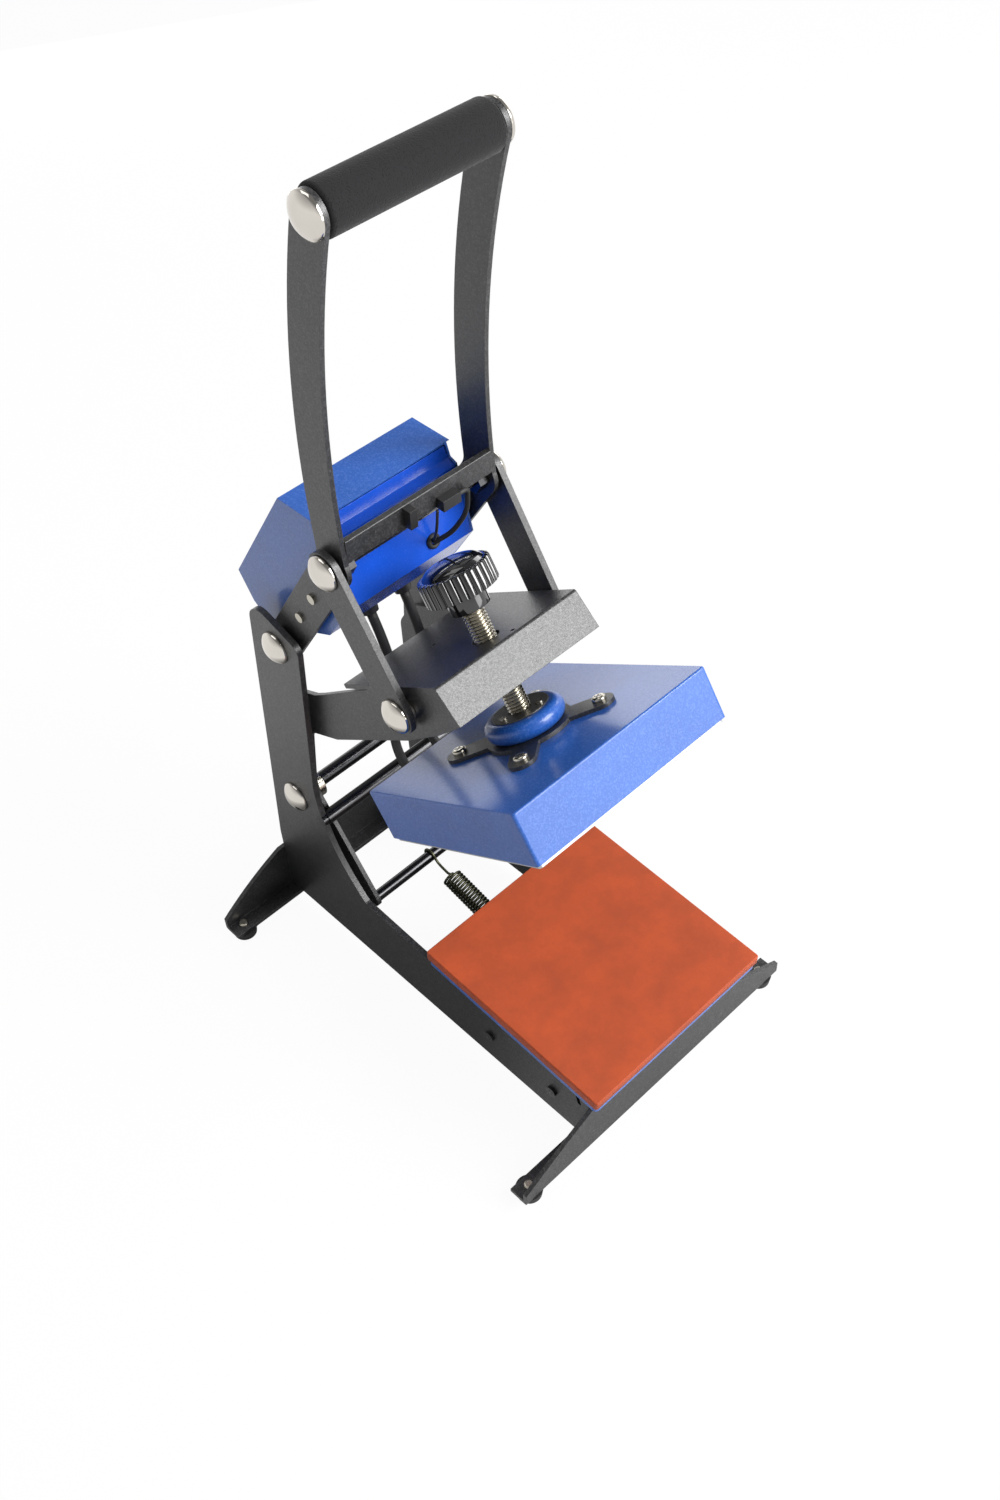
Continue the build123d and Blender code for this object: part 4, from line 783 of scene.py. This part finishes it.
@dataclass
class PressureScrew:
    """Threaded spindle with its thrust collar."""

    paints: Paintbox
    radius: float = 6.85
    pitch: float = 2.0
    depth: float = 1.25
    foot: float = 6.5
    collar_top: float = 9.5
    collar_radius: float = 9.5
    top: float = 83.9
    sides: int = 40
    rows_per_turn: int = 12

    def radius_at(self, height: float, turn: float) -> float:
        """Radius of the thread's surface.

        Args:
            height: Height along the spindle.
            turn: Share of a turn round it.

        Returns:
            The radius in millimetres.
        """
        phase = (height / self.pitch - turn) % 1.0
        ridge = 1 - abs(2 * phase - 1)
        run_in = min(1.0, max(0.0, (height - self.collar_top - 1) / 2), (self.top - height) / 1.0)
        return self.radius - self.depth * run_in * min(1.0, max(0.0, 1.12 - 1.3 * ridge))

    def build(self) -> list[bpy.types.Object]:
        """Make the spindle with a real thread.

        Returns:
            The spindle.
        """
        heights = [self.foot, self.collar_top, self.collar_top + 0.01]
        count = int((self.top - self.collar_top) / self.pitch * self.rows_per_turn)
        start = self.collar_top + 0.02
        heights += [start + (self.top - start) * i / count for i in range(count + 1)]
        verts = []
        for row, height in enumerate(heights):
            for k in range(self.sides):
                turn = k / self.sides
                radius = self.collar_radius if row < 2 else self.radius_at(height, turn)
                angle = 2 * math.pi * turn
                verts.append(on_arm(radius * math.cos(angle), radius * math.sin(angle), height))
        screw = make_object("threaded_spindle", verts, skin(len(heights), self.sides))
        self.paints.dress(screw, Slot.ZINC)
        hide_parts("pressure_spindle")
        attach(screw, "spindle")
        return [screw]


@dataclass
class Knob:
    """Ribbed moulded knob with a smooth hub and a domed top."""

    paints: Paintbox
    foot: float = 80.5
    bore: float = 6.95
    bore_depth: float = 3.5
    hub_radius: float = 12.0
    hub_height: float = 10.0
    head_radius: float = 22.0
    head_height: float = 15.0
    dome: float = 6.0
    ribs: int = 28
    rib_depth: float = 1.4
    steps_per_rib: int = 10

    def outline(self) -> list[tuple[float, float, float]]:
        """Profile of the knob.

        Returns:
            (radius, height, share of the ribs' depth) from the bore to the top.
        """
        hub, low, high = self.hub_radius, self.hub_height, self.hub_height + self.head_height
        flat = self.head_radius - self.rib_depth
        rows = [(self.bore, self.bore_depth, 0.0), (self.bore, 0.0, 0.0)]
        rows += [(hub - 0.7, 0.0, 0.0), (hub - 0.2, 0.2, 0.0), (hub, 0.7, 0.0), (hub, low - 0.6, 0.0)]
        rows += [(hub + 0.6, low, 0.0), (flat - 1.0, low, 0.0), (flat - 0.3, low + 0.1, 0.3)]
        rows += [(flat, low + 0.6, 1.0), (flat, high - 1.2, 1.0)]
        rows += [(flat - 0.1, high - 0.5, 0.8), (flat - 0.6, high, 0.3)]
        rows += [(flat - 1.4, high + 0.1, 0.0), (flat - 1.9, high - 0.1, 0.0)]
        inner = flat - 2.4
        for i in range(1, 11):
            turn = math.pi / 2 * i / 11
            rows.append((inner * math.cos(turn), high - 0.1 + (self.dome - 0.2) * math.sin(turn), 0.0))
        return rows

    def build(self) -> list[bpy.types.Object]:
        """Make the knob.

        Returns:
            The knob.
        """
        rows = self.outline()
        sides = self.ribs * self.steps_per_rib
        verts = []
        for radius, height, share in rows:
            for k in range(sides):
                across = 2 * (k % self.steps_per_rib) / self.steps_per_rib - 1
                reach = radius + self.rib_depth * share * math.sqrt(1 - across * across)
                turn = math.tau * k / sides
                verts.append(on_arm(reach * math.cos(turn), reach * math.sin(turn), self.foot + height))
        knob = make_object("ribbed_knob", verts, skin(len(rows), sides))
        knob.data.set_sharp_from_angle(angle=math.radians(38))
        self.paints.dress(knob, Slot.KNOB)
        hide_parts("pressure_knob")
        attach(knob, "spindle")
        return [knob]


@dataclass
class ReturnSpring:
    """Tension spring under the arm, with the hook on the arm's lower rod."""

    paints: Paintbox
    eye: Pair = (157.0, 58.0)
    anchor: Pair = (32.0, 27.0)
    coil_start: float = 21.0
    outside: float = 14.8
    wire: float = 1.9
    turns: int = 22
    pitch: float = 2.42
    rod_radius: float = 4.0
    steps: int = 20
    hook_gap: float = 0.15
    hook_points: int = 16
    hook_start: float = 280.0
    hook_sweep: float = 250.0
    still_share: float = 0.3

    def build(self) -> list[bpy.types.Object]:
        """Make the coil and its hook as one wire.

        Returns:
            The spring.
        """
        eye, anchor = place(0, *self.eye), place(0, *self.anchor)
        aim = (anchor - eye).normalized()
        side = Vector((1, 0, 0))
        up = aim.cross(side)
        radius = (self.outside - self.wire) / 2 * MM
        ring = (self.rod_radius + self.wire / 2 + self.hook_gap) * MM
        low = eye + aim * (self.coil_start - 3) * MM
        path: list[Vector] = []
        for i in range(self.hook_points):
            turn = math.radians(self.hook_start - self.hook_sweep * i / (self.hook_points - 1))
            path.append(eye + (aim * math.cos(turn) + up * math.sin(turn)) * ring)
        path += [eye + aim * (ring + 2.5 * MM) + up * ring * 0.12, eye + aim * (ring + 6 * MM), low]
        start = eye + aim * self.coil_start * MM
        count = self.turns * self.steps
        lead = self.steps // 2
        for i in range(count + 1):
            angle = 2 * math.pi * i / self.steps
            grow = min(1.0, 0.15 + 0.85 * i / lead)
            reach = start + aim * (self.pitch * i / self.steps * MM)
            path.append(reach + (side * math.cos(angle) + up * math.sin(angle)) * radius * grow)
        spring = make_tube("spring_wire", path, self.wire / 2 * MM, 8)
        self.paints.dress(spring, Slot.SPRING)
        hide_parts("return_spring", "spring_hook_plug")
        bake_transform(spring)
        return [spring]


@dataclass
class PlatenLeads:
    """Two leads that hang in slack loops from the box to the heat platen."""

    paints: Paintbox
    gland_x: Pair = (-2.0, 25.0)
    entry_x: Pair = (-14.0, 14.0)
    belly: Pair = (161.0, 303.4)
    low: Pair = (221.9, 272.3)
    gland_length: float = 15.0
    straight: float = 26.0
    radius: float = 3.2
    entry_y: float = 75.3
    before_y: float = 89.0
    entry_z: float = -14.0
    loop: tuple[Point, ...] = (
        (0.1, 167.0, 224.0),
        (0.2, 172.0, 194.0),
        (0.35, 173.0, 166.0),
        (0.5, 158.0, 151.0),
        (0.65, 139.0, 151.0),
        (0.8, 126.0, 166.0),
        (0.9, 124.0, 187.0),
    )

    def route(self, gland: float, entry: float) -> list[Vector]:
        """Points of one lead's route, as its solid part has them.

        Args:
            gland: Where the lead leaves the box, sideways.
            entry: Where it enters the platen, sideways.

        Returns:
            The route's points.
        """
        run = Vector((self.low[0] - self.belly[0], self.low[1] - self.belly[1]))
        out = Vector((0, run.y, -run.x)).normalized()
        middle = ((self.belly[0] + self.low[0]) / 2, (self.belly[1] + self.low[1]) / 2)
        start = place(gland, *middle) + out * self.gland_length * MM
        points = [start, start + out * self.straight * MM]
        points += [place(gland + (entry - gland) * share, y, z) for share, y, z in self.loop]
        points += [on_arm(entry, self.before_y, self.entry_z), on_arm(entry, self.entry_y, self.entry_z)]
        return points

    def build(self) -> list[bpy.types.Object]:
        """Make each lead in two halves that meet at the loop's lowest point.

        Returns:
            The four halves.
        """
        made = []
        for number, (gland, entry) in enumerate(zip(self.gland_x, self.entry_x), 1):
            points = self.route(gland, entry)
            lowest = points[5].lerp(points[6], 0.5)
            thick = self.radius * MM
            upper = make_tube(f"lead_{number}_upper", smooth_route([*points[:6], lowest]), thick, 16)
            lower = make_tube(f"lead_{number}_lower", smooth_route([lowest, *points[6:]]), thick, 16)
            for half in (upper, lower):
                self.paints.dress(half, Slot.RUBBER)
            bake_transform(upper)
            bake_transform(lower)
            made += [upper, lower]
        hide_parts("platen_leads")
        return made


@dataclass
class BoxFittings:
    """Grommet in the box's front and the thin second strand to the switch."""

    paints: Paintbox
    chin: Pair = (143.4, 330.5)
    brow: Pair = (153.4, 374.5)
    hole: Point = (20.5, 145.2, 339.5)
    strand_start: Point = (9.0, 125.0, 380.0)
    strand_bends: tuple[Point, ...] = ((0, 0, 0), (0, 1, -8), (3, 6, -20), (8, 14, -32))
    strand_radius: float = 0.9
    grommet_radius: float = 3.4
    grommet_bead: float = 1.5

    def build(self) -> list[bpy.types.Object]:
        """Make the grommet and the strand.

        Returns:
            Both pieces.
        """
        face = Vector((0, self.chin[1] - self.brow[1], self.brow[0] - self.chin[0])).normalized()
        at = place(*self.hole) + face * 0.2 * MM
        side = Vector((1, 0, 0))
        up = face.cross(side)
        turns = [math.tau * i / 32 for i in range(32)]
        ring = [at + (side * math.cos(a) + up * math.sin(a)) * self.grommet_radius * MM for a in turns]
        grommet = make_tube("lead_grommet", ring, self.grommet_bead * MM, 12, closed=True)
        self.paints.dress(grommet, Slot.RUBBER)
        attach(grommet, "handle")
        x, y, z = self.strand_start
        route = [place(x + dx, y + dy, z + dz) for dx, dy, dz in self.strand_bends] + [at]
        strand = make_tube("switch_strand", smooth_route(route), self.strand_radius * MM, 10)
        self.paints.dress(strand, Slot.RUBBER)
        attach(strand, "handle")
        return [grommet, strand]


@dataclass
class Recesses:
    """Cross recesses in the screw heads that show."""

    paints: Paintbox
    reach: float = 31.0
    head_top: float = 5.56
    bracket: tuple[Pair, ...] = ((32.6, 33.7), (-24.5, 32.0))
    face: float = 64.95

    def cross(self, at: Vector, normal: Vector, half: float, arm: float) -> tuple[list[Vector], list[Face]]:
        """Outline of one cross, laid on a screw head.

        Args:
            at: Middle of the head's face.
            normal: Direction that the head faces.
            half: Half the cross's width in millimetres.
            arm: Half the width of one arm.

        Returns:
            Points and faces of the cross.
        """
        move = Matrix.Translation(at) @ turned(normal)
        corners = [
            (-arm, -half), (arm, -half), (arm, -arm), (half, -arm), (half, arm), (arm, arm),
            (arm, half), (-arm, half), (-arm, arm), (-half, arm), (-half, -arm), (-arm, -arm),
        ]
        turn = Matrix.Rotation(math.radians(31), 4, "Z")
        verts = [move @ turn @ (Vector((x, y, z)) * MM) for z in (0.04, -0.5) for x, y in corners]
        count = len(corners)
        faces = [tuple(range(count)), tuple(range(count, 2 * count))]
        faces += [(k, (k + 1) % count, (k + 1) % count + count, k + count) for k in range(count)]
        return verts, faces

    def gather(
        self, name: str, places: list[tuple[Vector, Vector]], half: float, arm: float, body: str
    ) -> bpy.types.Object:
        """Make one piece of several crosses.

        Args:
            name: Name of the piece.
            places: Middle and facing of each head.
            half: Half the cross's width in millimetres.
            arm: Half the width of one arm.
            body: The body that it rides on.

        Returns:
            The piece.
        """
        verts: list[Vector] = []
        faces: list[Face] = []
        for at, normal in places:
            more, sides = self.cross(at, normal, half, arm)
            faces += [tuple(i + len(verts) for i in side) for side in sides]
            verts += more
        piece = make_object(name, verts, faces, smooth=False)
        self.paints.dress(piece, Slot.SCREW)
        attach(piece, body)
        return piece

    def build(self) -> list[bpy.types.Object]:
        """Make the crosses on the platen's and the bracket's screws.

        Returns:
            Both groups.
        """
        up = (on_arm(0, 0, 1) - on_arm(0, 0, 0)).normalized()
        reach = self.reach
        ears = [(on_arm(reach * sx, reach * sy, self.head_top), up) for sx in (-1, 1) for sy in (-1, 1)]
        sides = [(place(sx * self.face, y, z), Vector((sx, 0, 0))) for sx in (-1, 1) for y, z in self.bracket]
        return [
            self.gather("platen_screw_crosses", ears, 2.4, 0.55, "platen"),
            self.gather("bracket_screw_crosses", sides, 2.3, 0.5, "base"),
        ]


@dataclass(frozen=True)
class Lamp:
    """Soft rectangular lamp: where it stands, its width, its height and its power."""

    at: Point
    width: float
    height: float
    power: float


@dataclass
class Studio:
    """Pale floor, soft lamps and the camera."""

    camera_at: Point = (-0.4252, -0.4914, 0.9324)
    camera_aim: Point = (0.446784, 0.504899, -0.738553)
    camera_right: Point = (0.715815, -0.696939, -0.043421)
    lens: float = 38.19
    floor_half: float = 6.0
    floor_level: float = -0.0002
    floor_white: float = 0.95
    shade_at: Point = (-0.03, 0.06, 0.0)
    shade_near: float = 0.1
    shade_far: float = 0.3
    shade_least: float = 0.16
    lamps: tuple[Lamp, ...] = (
        Lamp((0.83, -1.37, 1.42), 1.2, 1.15, 60.0),
        Lamp((0.74, -1.5, 0.5), 0.9, 0.45, 4.5),
        Lamp((0.78, 1.45, 0.22), 0.9, 0.5, 2.6),
        Lamp((1.6, 0.5, 1.0), 0.8, 0.8, 6.0),
        Lamp((-0.2, 0.7, 1.9), 1.2, 1.2, 7.0),
    )
    fade_low: float = 0.1
    fade_high: float = 0.75
    ambient: float = 0.32
    overhead: float = 0.22

    def build(self) -> None:
        """Set up the floor, the world, the lamps and the camera."""
        self.make_floor()
        self.make_world()
        self.make_lamps()
        self.make_camera()
        bpy.context.scene.view_settings.view_transform = "Standard"

    def make_floor(self) -> None:
        """Make the floor: white to the camera, with a faint shadow, and shaded under the press in gloss."""
        half = self.floor_half
        rim = ((-half, -half), (half, -half), (half, half), (-half, half))
        corners = [Vector((x, y, self.floor_level)) for x, y in rim]
        floor = make_object("studio_floor", corners, [(0, 1, 2, 3)], smooth=False)
        shader = Shader("studio_floor")
        tree = shader.tree
        grain = shader.spread(shader.noise(3.0), 0.3, 0.7, 0.0, 1.0)
        shader.surface(Base_Color=shader.blend(grain, (0.8, 0.8, 0.8), (0.83, 0.83, 0.83)), Roughness=0.9)
        glow = tree.nodes.new("ShaderNodeEmission")
        mix = tree.nodes.new("ShaderNodeMixShader")
        path = shader.add("LightPath")
        seen = shader.share(path.outputs["Is Camera Ray"], self.floor_white)
        ends = {"0": shader.coordinates(), "1": self.shade_at}
        away = shader.add("VectorMath", {"operation": "DISTANCE"}, **ends).outputs["Value"]
        open_floor = shader.spread(away, self.shade_near, self.shade_far, self.shade_least, 1.0)
        both = {"0": open_floor, "1": path.outputs["Is Camera Ray"]}
        lit = shader.add("Math", {"operation": "MAXIMUM"}, **both)
        tree.links.new(lit.outputs[0], glow.inputs["Strength"])
        mirrored = path.outputs["Is Glossy Ray"]
        through = shader.share(path.outputs["Is Transmission Ray"], self.floor_white)
        most = shader.add("Math", {"operation": "MAXIMUM"}, **{"0": seen, "1": mirrored})
        every = shader.add("Math", {"operation": "MAXIMUM"}, **{"0": most.outputs[0], "1": through})
        tree.links.new(every.outputs[0], mix.inputs[0])
        tree.links.new(shader.principled.outputs[0], mix.inputs[1])
        tree.links.new(glow.outputs[0], mix.inputs[2])
        tree.links.new(mix.outputs[0], shader.output.inputs["Surface"])
        floor.data.materials.append(shader.material)

    def make_world(self) -> None:
        """Make the world: white to the camera and glass, and darker overhead in gloss."""
        world = bpy.data.worlds.new("studio_world")
        bpy.context.scene.world = world
        world.use_nodes = True
        tree = world.node_tree
        tree.nodes.clear()
        out = tree.nodes.new("ShaderNodeOutputWorld")
        back = tree.nodes.new("ShaderNodeBackground")
        back.inputs["Color"].default_value = (1.0, 1.0, 1.0, 1.0)
        path = tree.nodes.new("ShaderNodeLightPath")
        seen = tree.nodes.new("ShaderNodeMath")
        seen.operation = "MAXIMUM"
        tree.links.new(path.outputs["Is Camera Ray"], seen.inputs[0])
        tree.links.new(path.outputs["Is Transmission Ray"], seen.inputs[1])
        way = tree.nodes.new("ShaderNodeTexCoord")
        height = tree.nodes.new("ShaderNodeSeparateXYZ")
        tree.links.new(way.outputs["Generated"], height.inputs[0])
        fade = tree.nodes.new("ShaderNodeMapRange")
        tree.links.new(height.outputs["Z"], fade.inputs[0])
        for index, value in enumerate((self.fade_low, self.fade_high, 1.0, self.overhead)):
            fade.inputs[index + 1].default_value = value
        mirrored = tree.nodes.new("ShaderNodeMix")
        tree.links.new(path.outputs["Is Glossy Ray"], mirrored.inputs[0])
        mirrored.inputs[2].default_value = self.ambient
        tree.links.new(fade.outputs[0], mirrored.inputs[3])
        strength = tree.nodes.new("ShaderNodeMix")
        tree.links.new(seen.outputs[0], strength.inputs[0])
        tree.links.new(mirrored.outputs[0], strength.inputs[2])
        strength.inputs[3].default_value = 1.0
        tree.links.new(strength.outputs[0], back.inputs["Strength"])
        tree.links.new(back.outputs[0], out.inputs["Surface"])

    def make_lamps(self) -> None:
        """Make the soft lamps, all aimed at the press's middle."""
        middle = Vector((0, 0.02, 0.22))
        for number, plan in enumerate(self.lamps, 1):
            lamp = bpy.data.lights.new(f"soft_lamp_{number}", "AREA")
            lamp.shape = "RECTANGLE"
            lamp.size, lamp.size_y = plan.width, plan.height
            lamp.energy = plan.power
            holder = bpy.data.objects.new(f"soft_lamp_{number}", lamp)
            holder.location = plan.at
            holder.rotation_euler = (middle - Vector(plan.at)).to_track_quat("-Z", "Y").to_euler()
            bpy.context.scene.collection.objects.link(holder)

    def make_camera(self) -> None:
        """Put the camera where the photograph's camera stood."""
        right, aim = Vector(self.camera_right).normalized(), Vector(self.camera_aim).normalized()
        up = right.cross(aim).normalized()
        turn = Matrix((right, up, -aim)).transposed().to_4x4()
        data = bpy.data.cameras.new("studio_camera")
        data.sensor_fit = "VERTICAL"
        data.sensor_height = 36.0
        data.lens = self.lens
        data.clip_start, data.clip_end = 0.01, 50.0
        camera = bpy.data.objects.new("studio_camera", data)
        camera.matrix_world = Matrix.Translation(Vector(self.camera_at)) @ turn
        bpy.context.scene.collection.objects.link(camera)
        bpy.context.scene.camera = camera


def main() -> None:
    """Load the frame and build every sub-assembly."""
    logging.basicConfig(level=logging.INFO, format="%(name)s %(message)s")
    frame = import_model()
    Studio().build()
    paints = Paintbox()
    paints.dress_nodes(frame)
    assemblies = (
        Grip, DomedCaps, WorkPad, PressureScrew, Knob, ReturnSpring, PlatenLeads, BoxFittings, Recesses,
    )
    for assembly in assemblies:
        for piece in assembly(paints).build():
            log.info("made %s with %d faces", piece.name, len(piece.data.polygons))


if __name__ == "__main__":
    main()
